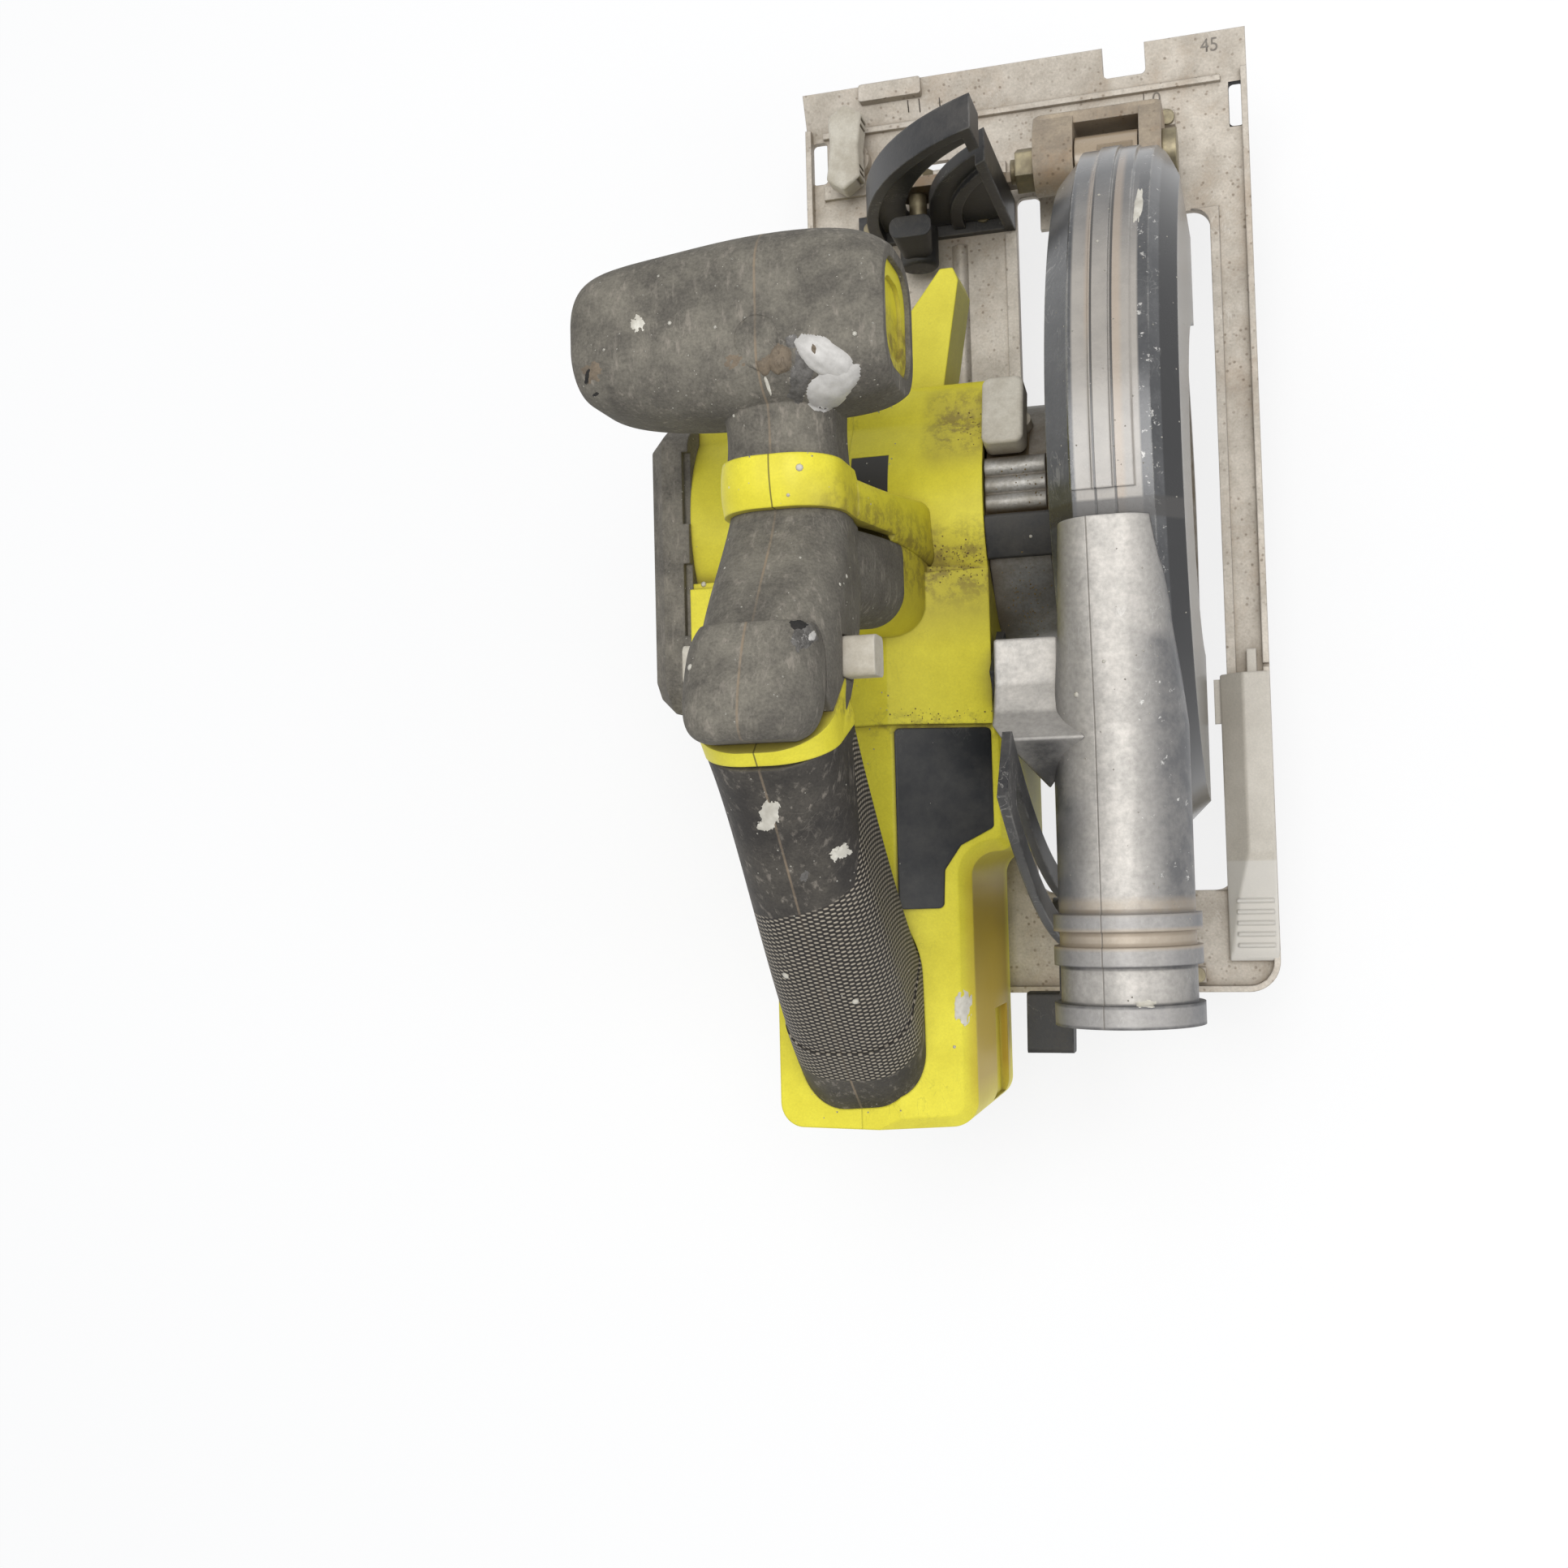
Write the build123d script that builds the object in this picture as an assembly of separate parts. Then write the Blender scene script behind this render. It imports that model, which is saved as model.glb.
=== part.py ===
from build123d import *
import math
import os

os.makedirs("parts", exist_ok=True)

# Cordless circular saw, in millimetres.
# +X is the blade side, +Y the cutting direction, +Z up from the sole.
# x = 0 is the blade plane, y = 0 the depth hinge, z = 0 the sole.

# Blade, arbor and motor axes
BLADE_R = 92.0
BLADE_T = 1.8
ARBOR_Y, ARBOR_Z = -113.0, 32.0
MODULE, PINION_TEETH, GEAR_TEETH = 1.0, 10, 46
CENTRES = MODULE * (PINION_TEETH + GEAR_TEETH) / 2
MOTOR_LEAN = math.radians(108)
MOTOR_Y = ARBOR_Y + CENTRES * math.cos(MOTOR_LEAN)
MOTOR_Z = ARBOR_Z + CENTRES * math.sin(MOTOR_LEAN)

# Shoe
SHOE_LEFT, SHOE_RIGHT = -116.5, 34.5
SHOE_FRONT, SHOE_REAR = 33.0, -271.0
PLATE_T = 2.5
RIM_H, RIM_T = 6.0, 2.0
LIP_Y, LIP_Z = 46.0, 8.5
WINDOW_LEFT, WINDOW_RIGHT = -43.0, 21.0
WINDOW_FRONT, WINDOW_REAR = -12.0, -238.0

# Hinges
DEPTH_Z = 25.0
BEVEL_Z = 8.0
QUADRANT_R = 92.0
STUD_R = 75.0
STUD_ANGLE = 174.0
BEVEL_RANGE = 50.0
GUIDE_R = 245.0
DEPTH_RANGE = 29.0

# Spindle lock: its pad's middle plane, size and span from the arbor, and its travel
LOCK_ANGLE = 76.0
LOCK_X = -35.6
LOCK_WIDE, LOCK_LONG = 12.0, 21.0
LOCK_FOOT, LOCK_TOP = 57.5, 65.5
LOCK_TRAVEL = 3.5

# Guards
HOOD_R, HOOD_WALL = 104.0, 3.0
HOOD_LEFT, HOOD_RIGHT = -19.0, 16.0
LOWER_R = 98.5
LOWER_LEFT, LOWER_RIGHT = -13.0, 10.0

# Dust chute
CHUTE_X, CHUTE_Z = -3.5, 113.0
CHUTE_R, CHUTE_BORE = 18.0, 15.5

# Handle and housing
HANDLE_X = -82.0
BARREL_R = 37.0
BARREL_LEFT, BARREL_RIGHT = -131.0, -42.0
BOX_LEFT, BOX_RIGHT = -107.0, -50.0
BOX_REAR = -303.0
ROOF_X, ROOF_Z, ROOF_FALL = -70.0, 99.0, 0.45
COLUMN_SPLIT = 118.0
GRIP_DIR = (-0.743, -0.669)
BAND_T, BAND_LEAN = 6.0, 20.0
RUN = 0.05


def box(x0, x1, y0, y1, z0, z1):
    return Pos((x0 + x1) / 2, (y0 + y1) / 2, (z0 + z1) / 2) * Box(x1 - x0, y1 - y0, z1 - z0)


def rod_x(x0, x1, y, z, r):
    return Pos((x0 + x1) / 2, y, z) * Rot(0, 90, 0) * Cylinder(r, x1 - x0)


def rod_y(y0, y1, x, z, r):
    return Pos(x, (y0 + y1) / 2, z) * Rot(90, 0, 0) * Cylinder(r, y1 - y0)


def rod_z(z0, z1, x, y, r):
    return Pos(x, y, (z0 + z1) / 2) * Cylinder(r, z1 - z0)


def tube_x(x0, x1, y, z, outer, inner):
    return rod_x(x0, x1, y, z, outer) - rod_x(x0 - 1, x1 + 1, y, z, inner)


def polygon(points, radius=0.0):
    face = make_face(Polyline(*points, close=True))
    return fillet(face.vertices(), radius) if radius else face


def side_slab(points, x0, x1, radius=0.0):
    """Outline in (y, z), extruded from x0 to x1."""
    return extrude(Plane.YZ.offset(x0) * polygon(points, radius), x1 - x0)


def front_slab(points, y0, y1, radius=0.0):
    """Outline in (x, z), extruded from y0 to y1."""
    return extrude(Plane.XZ.offset(-y1) * polygon(points, radius), y1 - y0)


def plan_slab(points, z0, z1, radius=0.0):
    """Outline in (x, y), extruded from z0 to z1."""
    return extrude(Plane.XY.offset(z0) * polygon(points, radius), z1 - z0)


def turn_x(shape, y, z, degrees):
    """Turn a shape about the X-parallel axis through (y, z)."""
    return Pos(0, y, z) * Rot(degrees, 0, 0) * Pos(0, -y, -z) * shape


def x_section(x, y, z, wide, high, radius):
    """Rounded section square to X, wide along Y and high along Z."""
    return Plane((x, y, z), x_dir=(0, 1, 0), z_dir=(1, 0, 0)) * RectangleRounded(wide, high, radius)


def y_section(y, x, z, wide, high, radius):
    """Rounded section square to Y, wide along X and high along Z."""
    return Plane((x, y, z), x_dir=(1, 0, 0), z_dir=(0, -1, 0)) * RectangleRounded(wide, high, radius)


def path_section(y, z, direction, wide, deep, radius):
    """Rounded section in the handle's mid-plane, square to a (y, z) direction."""
    plane = Plane((HANDLE_X, y, z), x_dir=(1, 0, 0), z_dir=(0, direction[0], direction[1]))
    return plane * RectangleRounded(wide, deep, radius)


def sector(cy, cz, inner, outer, start, end):
    """Flat ring sector with true arcs, as a face in local coordinates."""
    a0, a1, am = (math.radians(v) for v in (start, end, (start + end) / 2))

    def point(r, a):
        return (cy + r * math.cos(a), cz + r * math.sin(a))

    outline = [
        ThreePointArc(point(outer, a0), point(outer, am), point(outer, a1)),
        Line(point(outer, a1), point(inner, a1)),
        ThreePointArc(point(inner, a1), point(inner, am), point(inner, a0)),
        Line(point(inner, a0), point(outer, a0)),
    ]
    return make_face(outline)


def side_sector(cy, cz, inner, outer, start, end, x0, x1):
    return extrude(Plane.YZ.offset(x0) * sector(cy, cz, inner, outer, start, end), x1 - x0)


def front_sector(cx, cz, inner, outer, start, end, y0, y1):
    return extrude(Plane.XZ.offset(-y1) * sector(cx, cz, inner, outer, start, end), y1 - y0)


def slot_sector(cy, cz, radius, half, start, end, x0, x1):
    """Arc slot with round ends, cut through from x0 to x1."""
    cut = side_sector(cy, cz, radius - half, radius + half, start, end, x0, x1)
    for angle in (start, end):
        a = math.radians(angle)
        cut += rod_x(x0, x1, cy + radius * math.cos(a), cz + radius * math.sin(a), half)
    return cut


# Shoe and what is fixed to it


def shoe_plate():
    plate = plan_slab(
        [(SHOE_LEFT, SHOE_FRONT), (SHOE_RIGHT, SHOE_FRONT), (SHOE_RIGHT, SHOE_REAR), (SHOE_LEFT, SHOE_REAR)],
        0, PLATE_T)
    plate = fillet(plate.edges().filter_by(Axis.Z).group_by(Axis.Y)[0], 10)
    rim = plan_slab(
        [(SHOE_LEFT, SHOE_FRONT), (SHOE_RIGHT, SHOE_FRONT), (SHOE_RIGHT, SHOE_REAR), (SHOE_LEFT, SHOE_REAR)],
        PLATE_T, RIM_H)
    rim = fillet(rim.edges().filter_by(Axis.Z).group_by(Axis.Y)[0], 10)
    hollow = plan_slab(
        [(SHOE_LEFT + RIM_T, SHOE_FRONT + 5), (SHOE_RIGHT - RIM_T, SHOE_FRONT + 5),
         (SHOE_RIGHT - RIM_T, SHOE_REAR + RIM_T), (SHOE_LEFT + RIM_T, SHOE_REAR + RIM_T)],
        PLATE_T - 1, RIM_H + 1)
    hollow = fillet(hollow.edges().filter_by(Axis.Z).group_by(Axis.Y)[0], 8)
    plate += rim - hollow
    # The front lip turns up like a ski, from the bend line to its top edge.
    lip = side_slab(
        [(SHOE_FRONT - 2, 0), (SHOE_FRONT, 0), (LIP_Y, LIP_Z - PLATE_T), (LIP_Y - 1.2, LIP_Z),
         (SHOE_FRONT - 2, PLATE_T)],
        SHOE_LEFT, SHOE_RIGHT)
    plate += lip
    plate += plan_slab([(-96, 39), (-74, 39), (-74, 45), (-96, 45)], LIP_Z - 4.5, LIP_Z + 1.2, 1)
    # Rolled edge round the blade window, then the window itself.
    edge = plan_slab(
        [(WINDOW_LEFT - 4, WINDOW_FRONT), (WINDOW_RIGHT + 3, WINDOW_FRONT), (WINDOW_RIGHT + 3, WINDOW_REAR),
         (WINDOW_LEFT - 4, WINDOW_REAR)],
        PLATE_T, PLATE_T + 1.6)
    plate += edge
    window = plan_slab(
        [(WINDOW_LEFT, WINDOW_FRONT), (WINDOW_RIGHT, WINDOW_FRONT), (WINDOW_RIGHT, WINDOW_REAR),
         (WINDOW_LEFT, WINDOW_REAR)],
        -1, 9, 6)
    plate -= window
    plate -= plan_slab([(WINDOW_LEFT, -20), (-35, -20), (-35, 0), (WINDOW_LEFT, 0)], -1, 9, 2.5)
    # Sight notch on the cut line.
    plate -= plan_slab([(-12, 36), (2, 36), (2, 50), (-12, 50)], -1, 15, 1.5)
    # Channel and end slots for the rip fence bar.
    channel = box(SHOE_LEFT + 6, -46, 8, 13, PLATE_T, PLATE_T + 1.8)
    channel += box(SHOE_LEFT + 6, 26, 30, 32, PLATE_T, PLATE_T + 1.8)
    plate += channel
    plate -= plan_slab([(-115, 14.5), (-109.5, 14.5), (-109.5, 29.5), (-115, 29.5)], -1, 4.4, 1.5)
    plate -= plan_slab([(28.5, 14.5), (33.2, 14.5), (33.2, 29.5), (28.5, 29.5)], -1, 4.4, 1.5)
    plate -= box(-80, -66, 14, 17, -1, 9)
    # Stiffening beads pressed into the wide side.
    for x, y0, y1 in ((-63, -70, -14), (-88, -250, -36), (-63, -250, -100)):
        bead = rod_y(y0, y1, x, PLATE_T - 1.2, 3)
        plate += bead & box(-116, 0, -260, 0, 1, 9)
    # Boss that takes the fence screw.
    plate += rod_z(PLATE_T, 7, -99.5, 20, 6)
    plate -= rod_z(-1, 9, -99.5, 20, 3.05)
    # Rivet holes for the quadrant and the hinge lugs.
    for x, y, top in rivet_places():
        plate -= rod_z(-1, 9, x, y, 2)
    # Joint in the right rim where the rail cover begins.
    plate -= box(SHOE_RIGHT - RIM_T - 0.5, SHOE_RIGHT + 1, -166, -164.8, PLATE_T + 1, 9)
    return plate


def bevel_quadrant():
    """Upright arc bracket: a curved flange over a ribbed web with the clamp slot."""
    y0, y1 = -11.0, -0.5
    flange = front_sector(0, BEVEL_Z, QUADRANT_R - 4, QUADRANT_R, 116, 181, y0, y1)
    web = front_sector(0, BEVEL_Z, 48, QUADRANT_R - 2, 116, 181, -7.5, -3.5)
    rib = front_sector(0, BEVEL_Z, 60, 64, 116, 181, -9.5, -2)
    post = box(-47, -43.5, y0, y1, PLATE_T, 86)
    shape = flange + web + rib + post
    shape &= box(-120, -43.5, -20, 10, PLATE_T, 100)
    shape += box(-98, -43.5, y0, y1, PLATE_T, PLATE_T + 3)
    end = 180 - (180 - STUD_ANGLE) - BEVEL_RANGE
    slot = front_sector(0, BEVEL_Z, STUD_R - 4, STUD_R + 4, end - 1, STUD_ANGLE + 1, -20, 5)
    for angle in (end - 1, STUD_ANGLE + 1):
        a = math.radians(angle)
        slot += rod_y(-20, 5, STUD_R * math.cos(a), BEVEL_Z + STUD_R * math.sin(a), 4)
    shape -= slot
    for x, y, top in rivet_places()[:2]:
        shape -= rod_z(0, top + 0.1, x, y, 2) + rod_z(top, top + 2, x, y, 2.7)
    return shape


def hinge_lugs():
    """Pressed lugs on the shoe that carry the two bevel hinge pins."""
    outline = [(-11, PLATE_T), (11, PLATE_T), (11, 4.9), (5.5, 4.9), (5.5, BEVEL_Z), (-5.5, BEVEL_Z),
               (-5.5, 4.9), (-11, 4.9)]
    pair = []
    for y0, y1 in ((17, 22), (-268, -263)):
        lug = front_slab(outline, y0, y1) + rod_y(y0, y1, 0, BEVEL_Z, 5.5)
        lug -= box(-30, 30, y0 - 1, y1 + 1, 0, PLATE_T)
        lug -= rod_y(y0 - 1, y1 + 1, 0, BEVEL_Z, 2.5)
        for x in (-8.3, 8.3):
            lug -= rod_z(0, 9, x, (y0 + y1) / 2, 2)
        pair.append(lug)
    return pair


def hinge_pins():
    front = rod_y(11.5, 23, 0, BEVEL_Z, 2.5)
    rear = rod_y(-268.5, -255.5, 0, BEVEL_Z, 2.5)
    return [front, rear]


def rivet_places():
    """Plan places of the rivets and the height that each one clamps to."""
    quadrant = [(x, -5.5, PLATE_T + 3) for x in (-93.5, -54)]
    return quadrant + [(x, y, 4.95) for y in (19.5, -265.5) for x in (-8.3, 8.3)]


def shoe_rivets():
    return [rod_z(0, top, x, y, 2) + rod_z(top, top + 1.2, x, y, 2.6) for x, y, top in rivet_places()]


def rail_cover():
    """Moulded cover on the right rail, with a cross bar into the window and a ribbed ramp."""
    x0, x1 = 24.7, SHOE_RIGHT - RIM_T - 0.1
    base = PLATE_T
    outline = [(-168, base), (-168, 11), (-172, 13), (-225, 13), (-240, 9), (-257, 5.5), (-261, base)]
    cover = side_slab(outline, x0, x1)
    cover = fillet(cover.edges().filter_by(Axis.Y).group_by(Axis.Z)[-1], 2.2)
    for i in range(4):
        y = -243 - i * 3.6
        cover += box(x0 + 1.4, x1 - 1, y - 0.9, y + 0.9, base, 9.5 - i * 0.75)
    # Cross bar: over the window's rolled edge, down its side and in under the guard.
    cover += box(19.2, x0 + 0.5, -186, -169, 4.3, 6)
    cover += box(19.2, WINDOW_RIGHT - 0.3, -186, -169, 0.4, 6)
    cover += plan_slab([(13, -169), (20, -169), (20, -182), (17, -177), (13, -176)], 0.4, 2.4)
    cover += box(27.5, 30.5, -168.5, -160, base, 6.5)
    return cover


# Rip fence screw and bevel clamp


def fence_knob():
    outline = [(-105, 31), (-99, 35), (-93, 31), (-94.5, 20), (-94, 9), (-100, 5), (-106, 9), (-104.5, 20)]
    wing = plan_slab(outline, 11, 19, 1.5)
    wing = fillet(wing.edges().group_by(Axis.Z)[-1], 1.2)
    for side in (-1, 1):
        for i in range(3):
            y = 20 + side * (7 + i * 2.2)
            wing -= box(-95.6, -92, y - 0.5, y + 0.5, 11.5, 18)
    neck = rod_z(7.6, 11, -99.5, 20, 4.6)
    return wing + neck - rod_z(0, 15, -99.5, 20, 3)


def fence_screw():
    return rod_z(0.6, 15, -99.5, 20, 3)


def stud_place():
    a = math.radians(STUD_ANGLE)
    return STUD_R * math.cos(a), BEVEL_Z + STUD_R * math.sin(a)


def bevel_lever():
    """Clamp lever behind the quadrant: round hub with a short upright paddle."""
    x, z = stud_place()
    hub = rod_y(-25, -11.8, x, z, 6.5)
    hub = fillet(hub.edges().group_by(Axis.Y)[0], 1.5)
    foot = Plane((x, -18.5, z + 3)) * RectangleRounded(10, 10, 3)
    tip = Plane((x + 2, -19, z + 24)) * RectangleRounded(14, 7, 3)
    return hub + loft([foot, tip]) - rod_y(-22, 0, x, z, 3)


def bevel_stud():
    x, z = stud_place()
    nut = extrude(Plane.XZ.offset(-8.4) * (Pos(x, z) * RegularPolygon(5.5, 6)), 4.5)
    return rod_y(-22, 6, x, z, 3) + nut


# Tilting frame


def front_yoke():
    """Pressed yoke on the front bevel pin; it holds the depth bolt and the bevel clamp's arm."""
    yoke = rod_x(-33, -20, 0, DEPTH_Z, 9) + rod_x(1, 8, 0, DEPTH_Z, 9)
    for x0, x1 in ((-33, -20), (1, 8)):
        yoke += side_slab([(0, 16), (0, 34), (10, 32), (16, 28), (16, 12), (8, 12)], x0, x1, 2)
    bar = box(-33, 8, 12, 16, 11, 29)
    yoke += fillet(bar.edges().filter_by(Axis.Y), 3)
    yoke += rod_y(12, 16, 0, BEVEL_Z, 4.6) + box(-4.6, 4.6, 12, 16, BEVEL_Z, 14)
    # Flat arm in front of the quadrant that carries the clamp stud.
    x, z = stud_place()
    arm = [(-22, 10), (-22, 20), (-32.5, 20), (-33, 16.8), (-44, 16.8), (-52, 23),
           (x, z + 8), (x, z - 8), (-50, 9.5)]
    yoke += front_slab(arm, 0.3, 3.8)
    yoke += rod_y(0.3, 3.8, x, z, 8)
    yoke -= rod_x(-40, 12, 0, DEPTH_Z, 4)
    yoke -= rod_y(11, 17, 0, BEVEL_Z, 2.5 + RUN)
    yoke -= rod_y(0, 4, x, z, 3 + RUN)
    return yoke


def depth_bolt():
    """Hinge bolt of the saw head and its hexagon nut."""
    bolt = rod_x(-41, 9, 0, DEPTH_Z, 4) + rod_x(8, 12.5, 0, DEPTH_Z, 7)
    nut = extrude(Plane.YZ.offset(-39) * (Pos(0, DEPTH_Z) * RegularPolygon(7.5, 6)), 6)
    return [bolt, nut - rod_x(-50, 0, 0, DEPTH_Z, 4)]


def depth_guide():
    """Arc bar round the depth hinge, with its slot and its foot."""
    x0, x1 = -28.5, -26.0
    bar = side_sector(0, DEPTH_Z, GUIDE_R - 10, GUIDE_R + 10, 180 - 34, 184.5, x0, x1)
    bar -= slot_sector(0, DEPTH_Z, GUIDE_R, 3.6, 180 - DEPTH_RANGE - 1.5, 181.6, x0 - 1, x1 + 1)
    bar += side_slab([(-255, 4), (-262, 4), (-262, 26), (-248, 20), (-240, 8)], x0, x1)
    return bar


def tilt_bracket():
    """Cross piece that joins the depth guide's foot to the rear bevel pin."""
    y0, y1 = -262.0, -256.0
    piece = front_slab([(-26, 4.2), (0, 4.2), (0, 12), (-14, 13), (-26, 20)], y0, y1)
    piece += rod_y(y0, y1, 0, BEVEL_Z, 4.6)
    piece -= box(0.1, 9, y0 - 1, y1 + 1, 0, 4)
    return piece - rod_y(y0 - 1, y1 + 1, 0, BEVEL_Z, 2.5 + RUN)


# Guards, gear case and dust chute


def hood_profile(outer, left, right, base_left, base_right, corner):
    """Half section of the hood in (x, r)."""
    points = [(left, base_left), (left, outer - corner), (left + corner, outer), (right - corner, outer),
              (right, outer - corner), (right, base_right)]
    return points


def arbor_revolve(points, start, arc):
    """Revolve an (x, r) outline about the arbor; start is measured from the front, upward."""
    plane = Plane((0, ARBOR_Y, ARBOR_Z), x_dir=(1, 0, 0), z_dir=(0, -1, 0))
    face = plane * make_face(Polyline(*points, close=True))
    solid = revolve(face, Axis((0, ARBOR_Y, ARBOR_Z), (1, 0, 0)), arc)
    return turn_x(solid, ARBOR_Y, ARBOR_Z, start - 90)


def hood_envelope(grow=0.0):
    points = hood_profile(HOOD_R + grow, HOOD_LEFT - grow, HOOD_RIGHT + grow, 20, 20, 7)
    return arbor_revolve(points, -8, 196)


def upper_guard():
    body = arbor_revolve(hood_profile(HOOD_R, HOOD_LEFT, HOOD_RIGHT, 28.5, 46, 7), -8, 196)
    core = arbor_revolve(
        hood_profile(HOOD_R - HOOD_WALL, HOOD_LEFT + HOOD_WALL, HOOD_RIGHT - HOOD_WALL, 10, 10, 5), -20, 220)
    # Raised centre strip along the crown.
    strip = arbor_revolve(
        [(-7.5, HOOD_R - 1), (-6.5, HOOD_R + 1.4), (-1.5, HOOD_R + 1.4), (-0.5, HOOD_R - 1)], 14, 86)
    shoulder = arbor_revolve(
        [(-13, HOOD_R - 2), (-12, HOOD_R + 0.7), (4, HOOD_R + 0.7), (6, HOOD_R - 2)], 14, 86)
    body += shoulder + strip
    # The nose narrows towards the front knuckle.
    plan = [(-30, -300), (25, -300), (25, -62), (10, -14), (8, 0), (-13, 0), (-16, -20), (-30, -75)]
    body &= plan_slab(plan, -20, 160)
    body -= core
    body -= box(8, 40, -300, 60, -80, 36)
    body -= box(-40, 8, -300, 60, -80, 12)
    # Side opening for the blade bolt.
    body -= rod_x(5, 40, ARBOR_Y, ARBOR_Z, 52)
    # Arc slot for the lower guard's lever and the outlet into the chute.
    body -= slot_sector(ARBOR_Y, ARBOR_Z, 79, 9.5, 20, 143, HOOD_LEFT - 5, HOOD_LEFT + HOOD_WALL + 0.5)
    body -= rod_y(-190, -150, CHUTE_X, CHUTE_Z, CHUTE_BORE - 3.5)
    for y, z in guard_screw_places():
        body -= rod_x(-30, -10, y, z, 2)
    # Front knuckle on the depth bolt.
    knuckle = rod_x(-19.5, 0.5, 0, DEPTH_Z, 8)
    knuckle += side_slab([(-2, 17.2), (2, 33), (-22, 62), (-16, 40), (-12, 21)], -12, -1)
    knuckle -= arbor_revolve([(-40, 5), (-40, HOOD_R - 1), (40, HOOD_R - 1), (40, 5)], -60, 200)
    body += knuckle
    body -= rod_x(-25, 5, 0, DEPTH_Z, 4 + RUN)
    # Tail with the boss that the depth clamp pulls on.
    outline = [(-196, 84), (-214, 60), (-253, 29), (-250, 15), (-236, 15), (-205, 34), (-196, 50)]
    tail = side_slab(outline, -22, -16.2, 2)
    tail += rod_x(-25.7, -16.2, -GUIDE_R, DEPTH_Z - 1, 9)
    tail -= rod_x(-30, -10, -GUIDE_R, DEPTH_Z - 1, 3 + RUN)
    body += tail
    return body


def chute_outer():
    narrow = [y_section(-138.5, CHUTE_X, CHUTE_Z + 5, 27, 38, 11),
              y_section(-166, CHUTE_X, CHUTE_Z + 2.5, 30, 37, 13)]
    wide = [y_section(-192, CHUTE_X, CHUTE_Z, 2 * CHUTE_R, 2 * CHUTE_R, CHUTE_R - 0.1),
            y_section(-208, CHUTE_X, CHUTE_Z, 2 * CHUTE_R, 2 * CHUTE_R, CHUTE_R - 0.1)]
    duct = loft(narrow) + loft([narrow[1], wide[0]]) + loft(wide)
    return duct + rod_y(-271, -207, CHUTE_X, CHUTE_Z, CHUTE_R)


def dust_chute():
    """Exhaust duct: narrow on the crown, round with three rings at the hose end."""
    duct = chute_outer()
    for y0, y1, r in ((-246, -241.5, 19.6), (-255, -250, 19.6), (-271, -265, 19.8)):
        duct += rod_y(y0, y1, CHUTE_X, CHUTE_Z, r)
    ear = plan_slab([(-36, -167), (-15, -167), (-10, -200), (-22, -198), (-36, -191)], 101, 118, 2)
    ear -= rod_z(90, 130, -29, -178, 2.2)
    duct += ear
    duct -= rod_y(-280, -196, CHUTE_X, CHUTE_Z, CHUTE_BORE)
    duct -= loft([y_section(-196.5, CHUTE_X, CHUTE_Z, 30, 30, 14.9),
                  y_section(-150, CHUTE_X, CHUTE_Z + 1, 22, 22, 8)])
    duct -= hood_envelope(0.05)
    duct -= arbor_revolve([(-13.2, 90), (-13.2, HOOD_R + 0.8), (-8, HOOD_R + 1.5), (0, HOOD_R + 1.5),
                           (6.2, HOOD_R + 0.8), (6.2, 90)], -8, 196)
    return max(duct.solids(), key=lambda s: s.volume)


def case_outline(grow):
    """Hull of the spindle, motor and rear lobe circles, as a face in (y, z)."""
    spindle = Pos(ARBOR_Y, ARBOR_Z) * Circle(28.5 + grow)
    motor = Pos(MOTOR_Y, MOTOR_Z) * Circle(33 + grow)
    lobe = Pos(-138, 60) * Circle(22 + grow)
    return make_hull(spindle.edges() + motor.edges() + lobe.edges())


def case_block(x0, x1, grow=0.0):
    return extrude(Plane.YZ.offset(x0) * case_outline(grow), x1 - x0)


def gear_case():
    """Cast case round the gears, with three ridges on its crown."""
    case = case_block(-42, -24)
    for i in range(3):
        case += rod_x(-41.5, -24, -113.5 - 5 * i, MOTOR_Z + 32.4 - 0.2 * i, 3.2)
    case -= case_block(-36, -23, -4)
    case -= rod_x(-48, -23, MOTOR_Y, MOTOR_Z, 11)
    case -= rod_x(-40.5, -23, ARBOR_Y, ARBOR_Z, 9.5)
    # Bore that guides the spindle lock's pin, and the pocket its pad sinks into.
    case -= lock_rod(-31, 40, 70, 2.5 + RUN)
    case -= lock_block(LOCK_WIDE + 0.8, LOCK_LONG + 0.8, LOCK_FOOT - LOCK_TRAVEL - 0.4, LOCK_TOP + 2)
    return case


def gear_cover():
    cover = case_block(-24, -19.05)
    cover += rod_x(-19.05, -6.5, ARBOR_Y, ARBOR_Z, 20)
    cover -= rod_x(-30, -14, ARBOR_Y, ARBOR_Z, 13)
    cover -= rod_x(-20, 0, ARBOR_Y, ARBOR_Z, 7)
    cover -= rod_x(-25, -21, MOTOR_Y, MOTOR_Z, 8)
    for y, z in guard_screw_places():
        cover -= rod_x(-30, -10, y, z, 2)
    return cover


def gear_shroud():
    """Black cover plate bent over the top of the gear case."""
    plate = side_sector(MOTOR_Y, MOTOR_Z, 33.1, 36.5, 99, 120, -41.8, -19.4)
    return fillet(plate.edges().filter_by(Axis.X), 1.0)


def guard_screw_places():
    angles = [math.radians(a) for a in (75, 112, 150)]
    return [(ARBOR_Y + 40 * math.cos(a), ARBOR_Z + 40 * math.sin(a)) for a in angles]


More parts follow.
